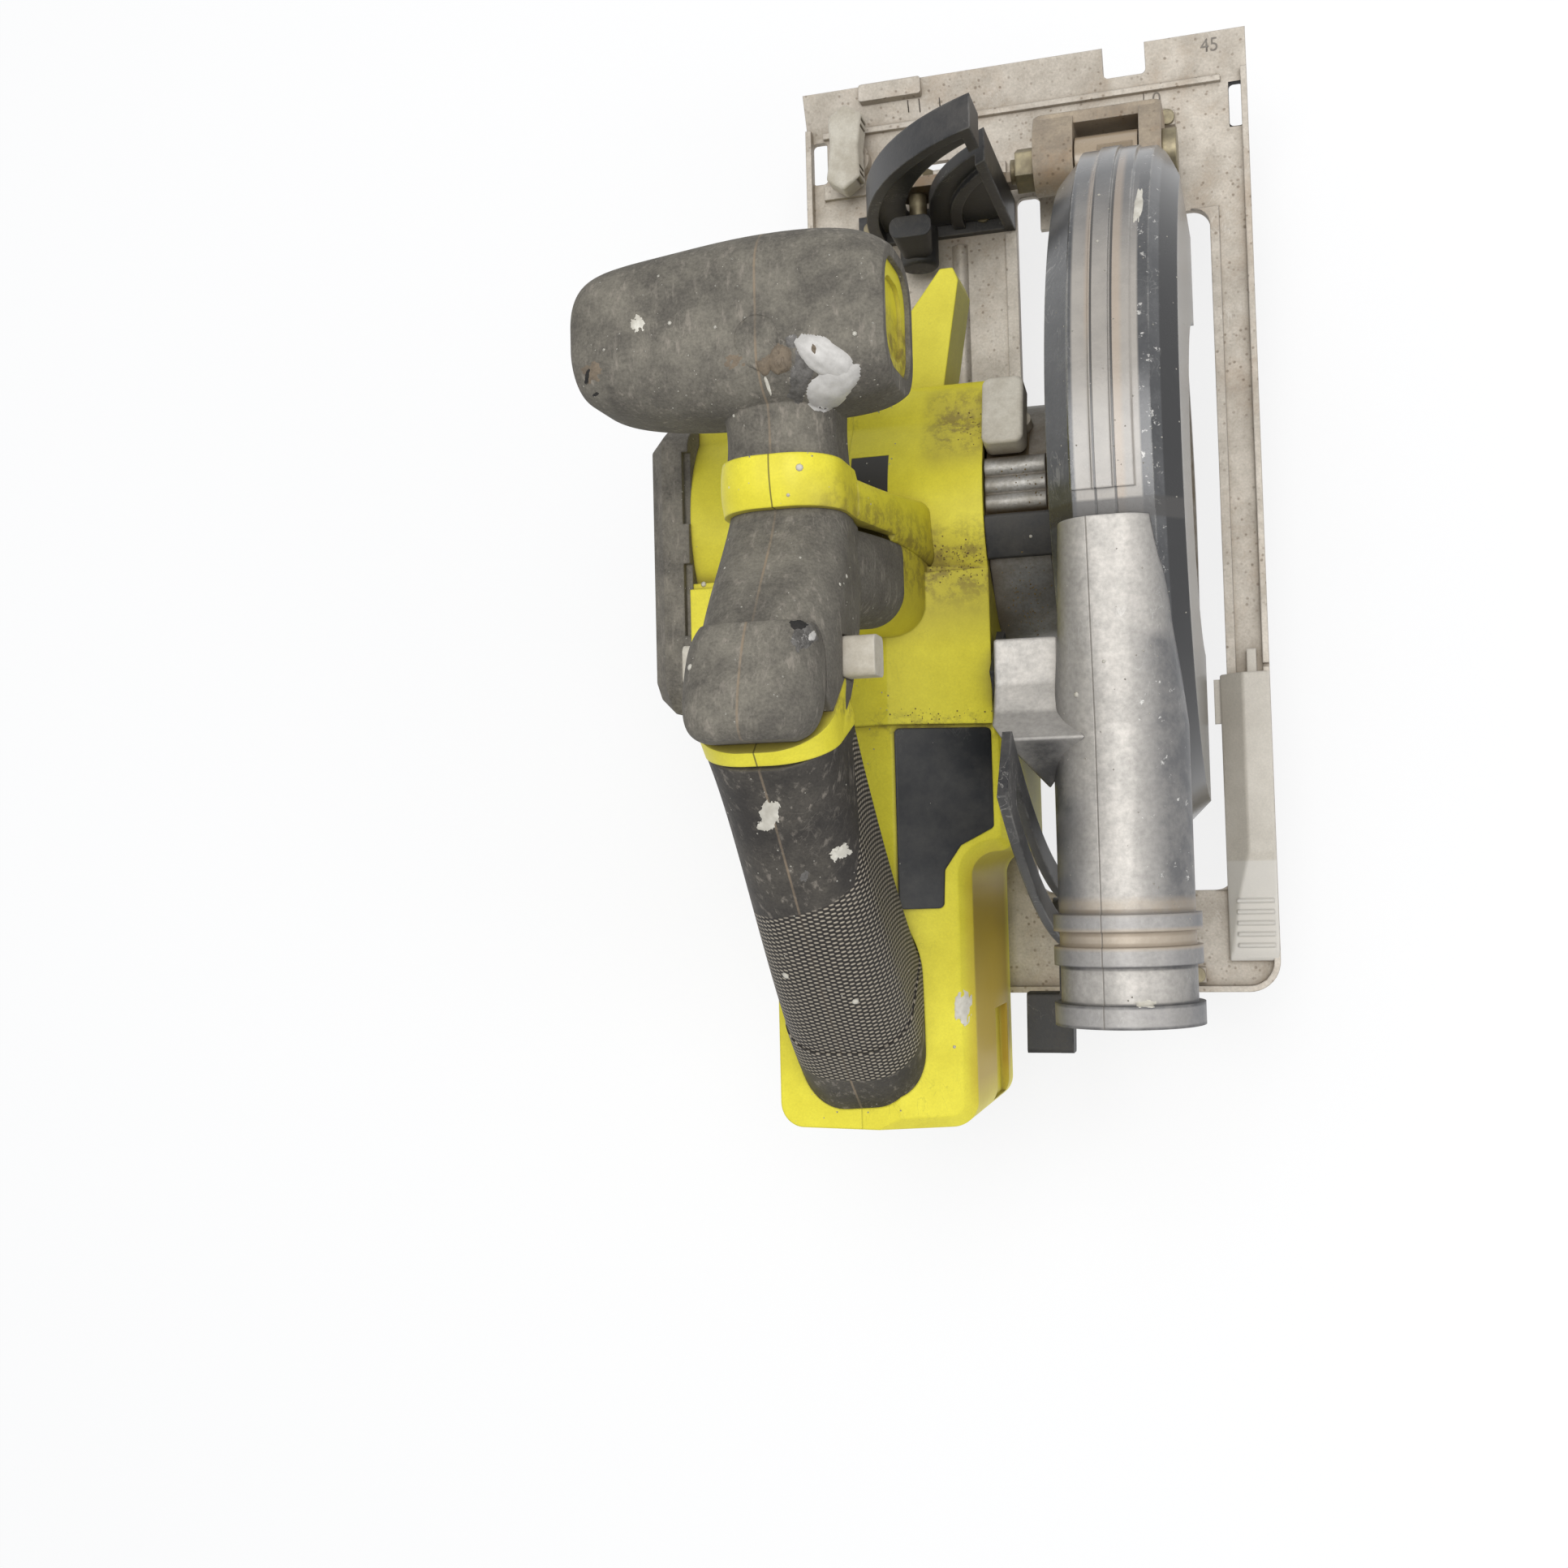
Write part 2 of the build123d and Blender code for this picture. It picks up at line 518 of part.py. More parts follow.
def lower_guard():
    """Swinging lower guard: hub ring, inner plate, rim and outer plate."""
    start, end = -190.0, -4.0
    plate = side_sector(ARBOR_Y, ARBOR_Z, 24, LOWER_R - 1, start, end, LOWER_LEFT, LOWER_LEFT + 2)
    rim = side_sector(ARBOR_Y, ARBOR_Z, LOWER_R - 2, LOWER_R, start, end, LOWER_LEFT, LOWER_RIGHT)
    outer = side_sector(ARBOR_Y, ARBOR_Z, 64, LOWER_R - 1, start + 6, end - 10, LOWER_RIGHT - 2, LOWER_RIGHT)
    hub = tube_x(-13.4, -9.5, ARBOR_Y, ARBOR_Z, 27, 20 + RUN)
    guard = plate + rim + outer + hub
    # Bead pressed round the outer plate.
    guard += side_sector(ARBOR_Y, ARBOR_Z, 74, 78, start + 14, end - 18, LOWER_RIGHT - 1, LOWER_RIGHT + 1)
    # Web from the hub up to the lever's lug.
    guard += side_sector(ARBOR_Y, ARBOR_Z, 22, 86, 131, 141, LOWER_LEFT, LOWER_LEFT + 2)
    guard -= rod_x(-20, 0, ARBOR_Y, ARBOR_Z, 20 + RUN)
    return guard


def guard_lever():
    """Finger lever of the lower guard, reaching out through the hood's arc slot."""
    lug = side_sector(ARBOR_Y, ARBOR_Z, 73, 85, 133, 139, -33, LOWER_LEFT)
    pad = side_sector(ARBOR_Y, ARBOR_Z, 71, 91, 131.5, 141, -40.8, -33)
    pad = pad - side_sector(ARBOR_Y, ARBOR_Z, 60, 88.5, 130, 138.8, -38.4, -32)
    return lug + pad + side_sector(ARBOR_Y, ARBOR_Z, 73, 85, 133, 139, -38.6, -32.9)


def guard_spring():
    """Torsion spring round the nose of the gear case."""
    coil = Helix(1.9, 3.4, 23.2)
    wire = Plane(coil @ 0, z_dir=coil % 0) * Circle(0.6)
    spring = sweep(wire, path=coil, is_frenet=True)
    return Pos(-18.2, ARBOR_Y, ARBOR_Z) * Rot(0, 90, 0) * spring


# Drive train


def gear_face(teeth, addendum, dedendum, backlash):
    """Involute spur gear outline as a face about the local origin."""
    pitch = MODULE * teeth / 2
    base = pitch * math.cos(math.radians(20))
    tip = pitch + addendum
    root = pitch - dedendum
    inv = math.tan(math.radians(20)) - math.radians(20)
    half = math.pi / (2 * teeth) - backlash / (2 * pitch)
    points = []
    for i in range(teeth):
        middle = 2 * math.pi * i / teeth
        flank = []
        for j in range(5):
            r = max(base, root) + (tip - max(base, root)) * j / 4
            a = math.acos(min(1.0, base / r))
            flank.append((r, half + inv - (math.tan(a) - a)))
        if root < base:
            flank.insert(0, (root, flank[0][1]))
        for r, a in flank:
            points.append((r * math.cos(middle - a), r * math.sin(middle - a)))
        for r, a in reversed(flank):
            points.append((r * math.cos(middle + a), r * math.sin(middle + a)))
    return make_face(Polyline(*points, close=True))


def mesh_angle():
    """Turn of the pinion that puts a gap opposite a tooth of the big gear."""
    toward = math.degrees(math.atan2(MOTOR_Z - ARBOR_Z, MOTOR_Y - ARBOR_Y))
    return toward


def drive_gear():
    face = Rot(0, 0, mesh_angle()) * gear_face(GEAR_TEETH, 0.6, 1.25, 0.16)
    gear = extrude(Plane.YZ.offset(-32) * (Pos(ARBOR_Y, ARBOR_Z) * face), 7)
    gear += rod_x(-34.5, -24.5, ARBOR_Y, ARBOR_Z, 11)
    for i in range(6):
        a = math.radians(60 * i)
        gear -= rod_x(-40, -20, ARBOR_Y + 16 * math.cos(a), ARBOR_Z + 16 * math.sin(a), 3)
    return gear - rod_x(-45, -15, ARBOR_Y, ARBOR_Z, 6)


def pinion_shaft():
    face = Rot(0, 0, mesh_angle() + 180 + 180 / PINION_TEETH) * gear_face(PINION_TEETH, 1.0, 1.25, 0.16)
    pinion = extrude(Plane.YZ.offset(-33) * (Pos(MOTOR_Y, MOTOR_Z) * face), 9)
    return pinion + rod_x(-136, -32.9, MOTOR_Y, MOTOR_Z, 3.5) + rod_x(-24.1, -22.5, MOTOR_Y, MOTOR_Z, 3)


def armature():
    core = rod_x(-114, -74, MOTOR_Y, MOTOR_Z, 22)
    for i in range(12):
        a = math.radians(30 * i)
        slot = box(-115, -73, MOTOR_Y + 14, MOTOR_Y + 23, MOTOR_Z - 1.1, MOTOR_Z + 1.1)
        core -= turn_x(slot, MOTOR_Y, MOTOR_Z, math.degrees(a))
    core += rod_x(-119, -113.9, MOTOR_Y, MOTOR_Z, 16) + rod_x(-74.1, -68, MOTOR_Y, MOTOR_Z, 16)
    return core - rod_x(-140, -40, MOTOR_Y, MOTOR_Z, 3.5)


def commutator():
    drum = rod_x(-129, -119.1, MOTOR_Y, MOTOR_Z, 11)
    for i in range(12):
        slot = box(-130, -118, MOTOR_Y + 9.6, MOTOR_Y + 12, MOTOR_Z - 0.3, MOTOR_Z + 0.3)
        drum -= turn_x(slot, MOTOR_Y, MOTOR_Z, 30 * i + 15)
    return drum - rod_x(-140, -100, MOTOR_Y, MOTOR_Z, 3.5)


def cooling_fan():
    fan = rod_x(-58.5, -56.5, MOTOR_Y, MOTOR_Z, 32) + rod_x(-57, -48.5, MOTOR_Y, MOTOR_Z, 8)
    for i in range(12):
        vane = box(-56.6, -50, MOTOR_Y + 14, MOTOR_Y + 31, MOTOR_Z - 0.8, MOTOR_Z + 0.8)
        fan += turn_x(vane, MOTOR_Y, MOTOR_Z, 30 * i)
    return fan - rod_x(-70, -40, MOTOR_Y, MOTOR_Z, 3.5)


def motor_can():
    """Steel can of the motor with its two magnet shells."""
    can = tube_x(-129.5, -62, MOTOR_Y, MOTOR_Z, 28, 25.8)
    for i in range(4):
        window = box(-129, -119, MOTOR_Y + 20, MOTOR_Y + 30, MOTOR_Z - 5, MOTOR_Z + 5)
        can -= turn_x(window, MOTOR_Y, MOTOR_Z, 90 * i + 45)
    shells = [can]
    for start in (20, 200):
        shells.append(side_sector(MOTOR_Y, MOTOR_Z, 22.6, 25.75, start, start + 140, -115, -73))
    return shells


def brushes():
    pair = []
    for side in (0, 180):
        carbon = box(-127, -121, MOTOR_Y - 3, MOTOR_Y + 3, MOTOR_Z + 11.3, MOTOR_Z + 24)
        pair.append(turn_x(carbon, MOTOR_Y, MOTOR_Z, side))
    return pair


def bearings():
    """Two bearings of the motor shaft and two of the blade spindle."""
    return [tube_x(-48.3, -42.1, MOTOR_Y, MOTOR_Z, 10.9, 3.5 + RUN),
            tube_x(-136.5, -131, MOTOR_Y, MOTOR_Z, 9.5, 3.5 + RUN),
            tube_x(-40.4, -35, ARBOR_Y, ARBOR_Z, 9.4, 6 + RUN),
            tube_x(-23.5, -14.1, ARBOR_Y, ARBOR_Z, 12.9, 6 + RUN)]


def spindle():
    shaft = rod_x(-40.4, 0.9, ARBOR_Y, ARBOR_Z, 6)
    return shaft - rod_x(-14, 2, ARBOR_Y, ARBOR_Z, 3)


def inner_flange():
    ring = rod_x(-6, -BLADE_T / 2, ARBOR_Y, ARBOR_Z, 6.9 + 9) - rod_x(-9, -5.2, ARBOR_Y, ARBOR_Z, 11)
    ring += rod_x(-6, -5, ARBOR_Y, ARBOR_Z, 9)
    ring += rod_x(-BLADE_T / 2, BLADE_T / 2 - 0.2, ARBOR_Y, ARBOR_Z, 8)
    return ring - rod_x(-10, 2, ARBOR_Y, ARBOR_Z, 6)


def outer_flange():
    ring = rod_x(BLADE_T / 2, 4, ARBOR_Y, ARBOR_Z, 16)
    ring = chamfer(ring.edges().group_by(Axis.X)[-1], 1.5)
    return ring - rod_x(-1, 6, ARBOR_Y, ARBOR_Z, 4.1)


def blade_bolt():
    head = extrude(Plane.YZ.offset(4) * (Pos(ARBOR_Y, ARBOR_Z) * RegularPolygon(7.2, 6)), 5)
    socket = extrude(Plane.YZ.offset(6) * (Pos(ARBOR_Y, ARBOR_Z) * RegularPolygon(3, 6)), 4)
    return head + rod_x(-12, 4, ARBOR_Y, ARBOR_Z, 3) - socket


def saw_blade():
    """Toothed disc with gullets and four expansion slots."""
    teeth = 24
    points = []
    for i in range(teeth):
        base = 2 * math.pi * i / teeth
        for r, share in ((BLADE_R, 0.0), (BLADE_R - 1.2, 0.16), (BLADE_R - 3.2, 0.5), (BLADE_R - 4.4, 0.72),
                         (BLADE_R - 9.5, 0.84), (BLADE_R - 9.8, 0.9), (BLADE_R - 7.5, 0.955)):
            a = base + share * 2 * math.pi / teeth
            points.append((r * math.cos(a), r * math.sin(a)))
    face = make_face(Polyline(*points, close=True))
    disc = extrude(Plane.YZ.offset(-BLADE_T / 2) * (Pos(ARBOR_Y, ARBOR_Z) * face), BLADE_T)
    disc -= rod_x(-3, 3, ARBOR_Y, ARBOR_Z, 8)
    for i in range(4):
        slot = box(-3, 3, ARBOR_Y + 66, ARBOR_Y + 90, ARBOR_Z - 0.5, ARBOR_Z + 0.5)
        slot += rod_x(-3, 3, ARBOR_Y + 66, ARBOR_Z, 2.2)
        disc -= turn_x(slot, ARBOR_Y, ARBOR_Z, 90 * i + 4)
    return disc


# Housing and handle


def grip_centre(t):
    """Point on the grip's centre line, t millimetres from its upper end."""
    bend = max(0.0, t - 55)
    y = -190 + GRIP_DIR[0] * t + 0.0009 * bend * bend
    z = 173 + GRIP_DIR[1] * t - 0.0009 * bend * bend
    return y, z


def grip_solid(grow=0.0, start=0.0, end=146.0):
    """The grip as a loft of rounded sections down its centre line."""
    sections = []
    rows = ((start, 34, 42), (18, 33, 41), (48, 33.5, 42), (78, 35, 43), (104, 36.5, 44),
            (126, 37, 44), (end, 36, 42))
    for t, wide, deep in rows:
        y, z = grip_centre(t)
        y2, z2 = grip_centre(t + 1)
        sections.append(path_section(y, z, (y2 - y, z2 - z), wide + 2 * grow, deep + 2 * grow, 14 + grow))
    return loft(sections)


def grip_beyond(t, lean=0.0):
    """Space beyond a plane across the grip at t; lean tips the plane down the grip's front."""
    y, z = grip_centre(t)
    y2, z2 = grip_centre(t + 1)
    a = math.atan2(z2 - z, y2 - y) - math.radians(lean)
    plane = Plane((HANDLE_X, y, z), x_dir=(1, 0, 0), z_dir=(0, math.cos(a), math.sin(a)))
    return extrude(plane * Rectangle(120, 260), 240)


def bridge_solid(grow=0.0):
    """Handle bridge from the collar up to the hump."""
    return loft([path_section(-137, 152, (-1, 0.1), 30.5 + 2 * grow, 34 + 2 * grow, 12 + grow),
                 path_section(-155, 158, (-0.9, 0.42), 34 + 2 * grow, 38 + 2 * grow, 13 + grow),
                 path_section(-176, 171, (-0.86, 0.5), 35 + 2 * grow, 42 + 2 * grow, 14 + grow),
                 path_section(-191, 180, (-0.86, 0.5), 34 + 2 * grow, 40 + 2 * grow, 14 + grow)])


def column_solid(grow=0.0):
    """Handle column from the motor barrel up into the bridge."""
    low = Plane((HANDLE_X, -147, 80)) * RectangleRounded(46 + 2 * grow, 34 + 2 * grow, 10 + grow)
    mid = Plane((HANDLE_X, -147, 120)) * RectangleRounded(42 + 2 * grow, 29 + 2 * grow, 10 + grow)
    top = Plane((HANDLE_X, -152, 158)) * RectangleRounded(29 + 2 * grow, 25 + 2 * grow, 9 + grow)
    return loft([low, mid, top])


def pommel_bar(grow=0.0):
    rows = ((-134.5, -90, 22, 24, 9), (-131.5, -90, 31, 33, 11), (-114, -90.5, 41, 39, 13),
            (-92, -90, 45, 40, 14), (-75, -89.5, 45, 40, 14), (-57, -90, 41, 38, 13),
            (-50.5, -90.5, 35, 33, 12))
    return loft([x_section(x, y, 163, w + 2 * grow, h + 2 * grow, r + grow) for x, y, w, h, r in rows])


def pommel_neck(grow=0.0):
    return loft([y_section(-104, HANDLE_X, 160, 32 + 2 * grow, 34 + 2 * grow, 12 + grow),
                 y_section(-114, HANDLE_X, 157, 29 + 2 * grow, 33 + 2 * grow, 12 + grow),
                 y_section(-124, HANDLE_X, 156, 29.5 + 2 * grow, 34 + 2 * grow, 12 + grow)])


def pommel_grip():
    """Soft cover of the front handle: a cross bar on a short neck."""
    bar = pommel_bar() + pommel_neck()
    bar -= extrude(x_section(-55, -90, 163, 28, 28, 9), 10)
    bar -= extrude(x_section(-129.5, -90, 163, 18, 20, 7), -10)
    bar -= rod_z(176, 190, HANDLE_X, -97, 5.5)
    bar -= pommel_core()
    return bar


def pommel_core():
    """Stiff nylon tongue inside the front handle."""
    core = loft([y_section(-88, HANDLE_X, 161, 20, 22, 8), y_section(-124, HANDLE_X, 156, 20, 24, 8)])
    return core + loft([x_section(-120, -90, 163, 22, 24, 8), x_section(-62, -90, 163, 26, 26, 9)])


def pommel_insets():
    """Bright inlays in the two ends of the front handle."""
    right = extrude(x_section(-55, -90, 163, 27.9, 27.9, 8.95), 3.2)
    right -= extrude(x_section(-53, -90, 163, 20, 20, 7), 3)
    left = extrude(x_section(-129.5, -90, 163, 17.9, 19.9, 6.95), -3.4)
    return [right, left]


def pommel_plug():
    plug = rod_z(176, 181.6, HANDLE_X, -97, 5.45)
    return fillet(plug.edges().group_by(Axis.Z)[-1], 0.8)


def collar_solid():
    return loft([y_section(-124.05, HANDLE_X, 156, 31.5, 37.5, 13),
                 y_section(-130, HANDLE_X, 155, 33, 39, 13.5),
                 y_section(-137, HANDLE_X, 153, 32.5, 38.5, 13)])


def brace_solid():
    """Leg from the collar's right side down to the motor barrel."""
    high = Plane((-71, -132, 150)) * RectangleRounded(12, 13, 4)
    mid = Plane((-68, -132, 122)) * RectangleRounded(15, 15, 4)
    low = Plane((-66, -131, 84)) * RectangleRounded(19, 22, 5)
    return loft([high, mid, low])


def pommel_collar():
    """Bright ring behind the front handle, with its leg down to the motor barrel."""
    ring = collar_solid() + brace_solid()
    ring -= rod_x(-200, 0, MOTOR_Y, MOTOR_Z, BARREL_R)
    ring -= deck_solid() + column_solid()
    ring -= box(-200, 0, -124, -60, 140, 300) + box(-200, 0, -200, -137, 125, 200)
    return max(ring.solids(), key=lambda s: s.volume)


def front_grip():
    """Black middle of the handle between collar and hump, with the top of the column."""
    body = bridge_solid() + (column_solid() & box(-130, -30, -190, -120, COLUMN_SPLIT, 190))
    body -= box(-130, -40, -137, -100, 130, 200)
    body -= grip_solid(0.02, -6)
    body -= hump_solid()
    # Wiring passage, lock-off bore and switch bay.
    body -= box(-90, -74, -156, -142, 90, 166)
    body -= lock_off_bore()
    body -= box(-92, -72, -196, -166, 148, 163) + trigger_bay() + brace_solid()
    return max(body.solids(), key=lambda s: s.volume)


def lock_off_bore():
    return box(-150, -20, -181, -170, 163.5, 173.5)


def hump_solid():
    return loft([y_section(-169, HANDLE_X, 187, 28, 18, 8), y_section(-176, HANDLE_X, 189, 33, 22, 10),
                 y_section(-187, HANDLE_X, 191.5, 34, 25, 11.5), y_section(-194, HANDLE_X, 193.5, 31, 22, 10),
                 y_section(-197.5, HANDLE_X, 194.5, 22, 14, 6.5)])


def hump_cover():
    return hump_solid() - grip_solid(0.52, -6)


def grip_band():
    """Bright band round the top of the grip, wide on its flanks and narrow behind the hump."""
    band = grip_solid(0.5, -6) - grip_solid(-4, -8) - grip_beyond(BAND_T, BAND_LEAN)
    band -= hump_solid()
    band -= bridge_solid() - grip_solid(0.0, -6)
    band -= trigger_bay()
    band -= lock_off_bore()
    return max(band.solids(), key=lambda s: s.volume)


def trigger_frame(t, n, x):
    """Point in the grip's own axes: t down the grip, n out of its front face."""
    y, z = grip_centre(0)
    return (HANDLE_X + x, y + GRIP_DIR[0] * t - GRIP_DIR[1] * n, z + GRIP_DIR[1] * t + GRIP_DIR[0] * n)


def grip_block(x0, x1, t0, t1, n0, n1):
    """Box laid along the grip's axes."""
    centre = trigger_frame((t0 + t1) / 2, (n0 + n1) / 2, (x0 + x1) / 2)
    plane = Plane(centre, x_dir=(1, 0, 0), z_dir=(0, GRIP_DIR[0], GRIP_DIR[1]))
    return plane * Box(x1 - x0, n1 - n0, t1 - t0)


def trigger_bay():
    return grip_block(-7.8, 7.8, 6, 38, 2, 40)


def trigger():
    pad = grip_block(-7.2, 7.2, 7, 37, 5, 29)
    pad = fillet(pad.edges().filter_by(Axis.X), 3)
    y, z = trigger_frame(20, 41, 0)[1:]
    pad -= rod_x(HANDLE_X - 20, HANDLE_X + 20, y, z, 16)
    return pad


def grip_skin():
    return grip_solid() - grip_solid(-4, -8)


def main_grip():
    skin = grip_skin() & grip_beyond(BAND_T + 0.05, BAND_LEAN)
    skin -= grip_beyond(56) + trigger_bay() + lock_off_bore()
    return max(skin.solids(), key=lambda s: s.volume)


def grip_pad():
    return (grip_skin() & grip_beyond(56.05)) - grip_beyond(100)


def socket_cut():
    """Open socket at the rear for the battery's stem."""
    return box(-102, -55, BOX_REAR - 20, -235, 34, 88)


def grip_end_cap():
    """Black boot at the foot of the grip, set into the battery housing."""
    cap = grip_solid(0.4) & grip_beyond(100.05) & box(-200, 0, -340, -200, 89, 200)
    return cap - (grip_solid(-4, -8) - grip_beyond(110))


def deck_solid(shrink=0.0):
    """Flat front shelf of the motor housing."""
    s = shrink
    deck = box(BARREL_LEFT + s, BARREL_RIGHT - s, -116, -83.5 - s, 26 + s, 86 - s)
    return fillet(deck.edges().filter_by(Axis.X).group_by(Axis.Y)[-1], 10)


def roof(lift):
    """Roof section of the rear housing, swept along Y: nearly level on the left, falling to the right."""
    right = -30.0
    left = BARREL_LEFT - 5
    outline = [(left, 20), (left, 94 + lift), (BOX_LEFT, 95 + lift), (ROOF_X, ROOF_Z + lift),
               (right, ROOF_Z + lift - ROOF_FALL * (right - ROOF_X)), (right, 20)]
    return front_slab(outline, -320, -130)


def upright_edge(solid, x, y):
    """The upright edge of a solid nearest to a plan point."""
    return min(solid.edges().filter_by(Axis.Z), key=lambda e: math.hypot(e.center().X - x, e.center().Y - y))


def rear_block():
    """Rear housing: battery box with an arched shoulder, and a raised block behind the motor."""
    plan = [(BARREL_LEFT, -141), (BARREL_RIGHT, -141), (BARREL_RIGHT, -183), (-38, -190), (-38, -224),
            (BOX_RIGHT, -224), (BOX_RIGHT, BOX_REAR), (BOX_LEFT, BOX_REAR),
            (BOX_LEFT, -180), (BARREL_LEFT, -180)]
    block = plan_slab(plan, 24, 124)
    for x, y, r in ((BOX_RIGHT, -224, 7), (-38, -224, 4.9), (BOX_RIGHT, BOX_REAR, 7), (BOX_LEFT, BOX_REAR, 7),
                    (BOX_LEFT, -180, 6)):
        block = fillet(upright_edge(block, x, y), r)
    block = block & roof(0)
    rim = [e for e in block.edges() if e.center().X > BOX_RIGHT - 1.5 and e.center().Y < -186
           and e.center().Z > 80 and abs((e % 0.5).Z) < 0.45]
    block = chamfer(rim, 3.5)
    outline = [(-136, 60), (-146, 112), (-180, 112), (-187, 104), (-187, 60)]
    raised = side_slab(outline, BARREL_LEFT, BARREL_RIGHT)
    return block + (raised & roof(3))


def light_arm():
    """Pointed arm in front of the motor housing that carries the work light."""
    arm = plan_slab([(-86, -83.45), (-57, -46), (-53, -46), (-51.5, -50), (-57, -83.45)], 52, 72, 0.8)
    arm -= plan_slab([(-80, -85), (-60, -59), (-56, -59), (-60, -85)], 50, 69.5)
    arm += box(-76, -58, -74, -72.4, 52, 70) & plan_slab([(-86, -83.45), (-57, -46), (-57, -83.45)], 50, 72)
    arm -= rod_z(50, 60, -56.6, -53.6, 3)
    return arm


def light_lens():
    return rod_z(51, 56, -56.6, -53.6, 2.95)


def housing():
    """Bright nylon body: motor barrel, front shelf, rear housing and the foot of the column."""
    body = rod_x(BARREL_LEFT, BARREL_RIGHT, MOTOR_Y, MOTOR_Z, BARREL_R)
    body += deck_solid() + rear_block()
    body += column_solid() & box(-130, -30, -190, -120, 80, COLUMN_SPLIT - 0.05)
    body -= rod_x(BARREL_LEFT - 1, BARREL_RIGHT + 1, MOTOR_Y, MOTOR_Z, BARREL_R - 3)
    body -= deck_solid(3)
    body -= box(-100, -54, -232, -164, 34, 88) + socket_cut() + box(-92.1, -64.9, -236, -225, 43.9, 80.1)
    # Seats of the motor can, then the end wall with the rear bearing's seat.
    for x in (-112, -74):
        body += tube_x(x, x + 4, MOTOR_Y, MOTOR_Z, BARREL_R - 2, 28.05)
    body += rod_x(-134, -130.2, MOTOR_Y, MOTOR_Z, 35.5) + rod_x(-137, -133, MOTOR_Y, MOTOR_Z, 13)
    body -= rod_x(-140, -130, MOTOR_Y, MOTOR_Z, 9.55)
    # Slots for cooling air in the barrel's underside.
    for i in range(6):
        slot = box(-128, -100, MOTOR_Y - 1.5, MOTOR_Y + 1.5, MOTOR_Z - 50, MOTOR_Z - 30)
        body -= turn_x(slot, MOTOR_Y, MOTOR_Z, -40 + 16 * i)
    # Latch recesses in the side walls of the battery box.
    body -= box(BOX_RIGHT - 2.5, -40, -300, -272, 32, 54)
    body -= box(-120, BOX_LEFT + 2.5, -300, -272, 32, 54)
    # Wire passage up into the handle column.
    body -= box(-90, -74, -156, -142, 84, 125)
    body -= grip_solid(0.42)
    for y, z in screw_places():
        body -= rod_x(-98, -66, y, z, 2) + rod_x(BOX_LEFT - 30, -97.9, y, z, 4)
    return body


def screw_places():
    return ((-292, 29), (-240, 29), (-200, 29), (-160, 62))


def housing_half(right):
    cut = box(HANDLE_X, 60, -400, 60, -100, 300) if right else box(-300, HANDLE_X, -400, 60, -100, 300)
    half = housing() & cut
    return max(half.solids(), key=lambda s: s.volume)


def case_screws():
    """Screws that join the housing halves, and those that hold the hood to the gear case."""
    screws = [rod_x(-98, -66, y, z, 1.98) + rod_x(-101.5, -97.9, y, z, 3.8) for y, z in screw_places()]
    screws += [rod_x(-23.8, -15.9, y, z, 2) + rod_x(-16, -14.2, y, z, 4) for y, z in guard_screw_places()]
    return screws


def motor_end_cap():
    """Rubber boot over the motor's outer end, with flat facets and a chamfered face."""
    outline = [(-86, 24), (-86, 80), (-97, 97), (-172, 97), (-179.5, 90), (-179.5, 26), (-166, 14), (-98, 14)]
    cap = side_slab(outline, -144, BARREL_LEFT - 0.05, 6)
    cap = chamfer(cap.faces().sort_by(Axis.X)[0].edges(), 4.5)
    cap -= rod_x(-140, -130, MOTOR_Y, MOTOR_Z, 35.55)
    # Grooves across the outer face and the top.
    for i in range(5):
        z = 30 + 13 * i
        cap -= box(-148, -143, -160, -104, z - 1, z + 1)
    for y in (-112, -146):
        cap -= box(-133, -131, y - 11, y + 11, 94.5, 100)
    return cap


def blank_plate():
    """Thin dark panel on the slanted roof beside the grip."""
    def height(x):
        return ROOF_Z - ROOF_FALL * (x - ROOF_X)

    sheet = front_slab([(-78, height(-78) + 0.05), (-34, height(-34) + 0.05), (-34, height(-34) + 0.85),
                        (-78, height(-78) + 0.85)], -250, -180)
    plan = [(-69, -188), (-43, -188), (-43, -217), (-52, -222), (-56.5, -229), (-57, -240), (-69, -240)]
    return sheet & plan_slab(plan, 80, 120, 1.5)


def battery_terminals():
    """Terminal block in the battery socket and its three contact blades."""
    block = box(-92, -65, -234.9, -226, 44, 80)
    block -= box(-88, -69, -236, -232, 48, 76)
    blades = [box(-87 + 8 * i, -85.8 + 8 * i, -250, -232.05, 54, 70) for i in range(3)]
    return [block] + blades


def switch_body():
    return grip_block(-7, 7, 12, 34, -14, -2)


def lock_off_button():
    button = box(-106.5, -56.5, -180.6, -170.4, 163.9, 173.1)
    button = fillet(button.edges().filter_by(Axis.X), 2)
    return button


def lock_axis():
    a = math.radians(LOCK_ANGLE)
    return math.cos(a), math.sin(a)


def lock_plane(x, r):
    """Plane square to the lock's line of travel, r millimetres from the arbor."""
    c, s = lock_axis()
    return Plane((x, ARBOR_Y + c * r, ARBOR_Z + s * r), x_dir=(1, 0, 0), z_dir=(0, c, s))


def lock_rod(x, r0, r1, radius):
    """Round bar pointing at the arbor, between two distances from it."""
    return lock_plane(x, (r0 + r1) / 2) * Cylinder(radius, r1 - r0)


def lock_block(wide, long, r0, r1):
    """Block on the lock's line of travel, between two distances from the arbor."""
    return lock_plane(LOCK_X, (r0 + r1) / 2) * Box(wide, long, r1 - r0)


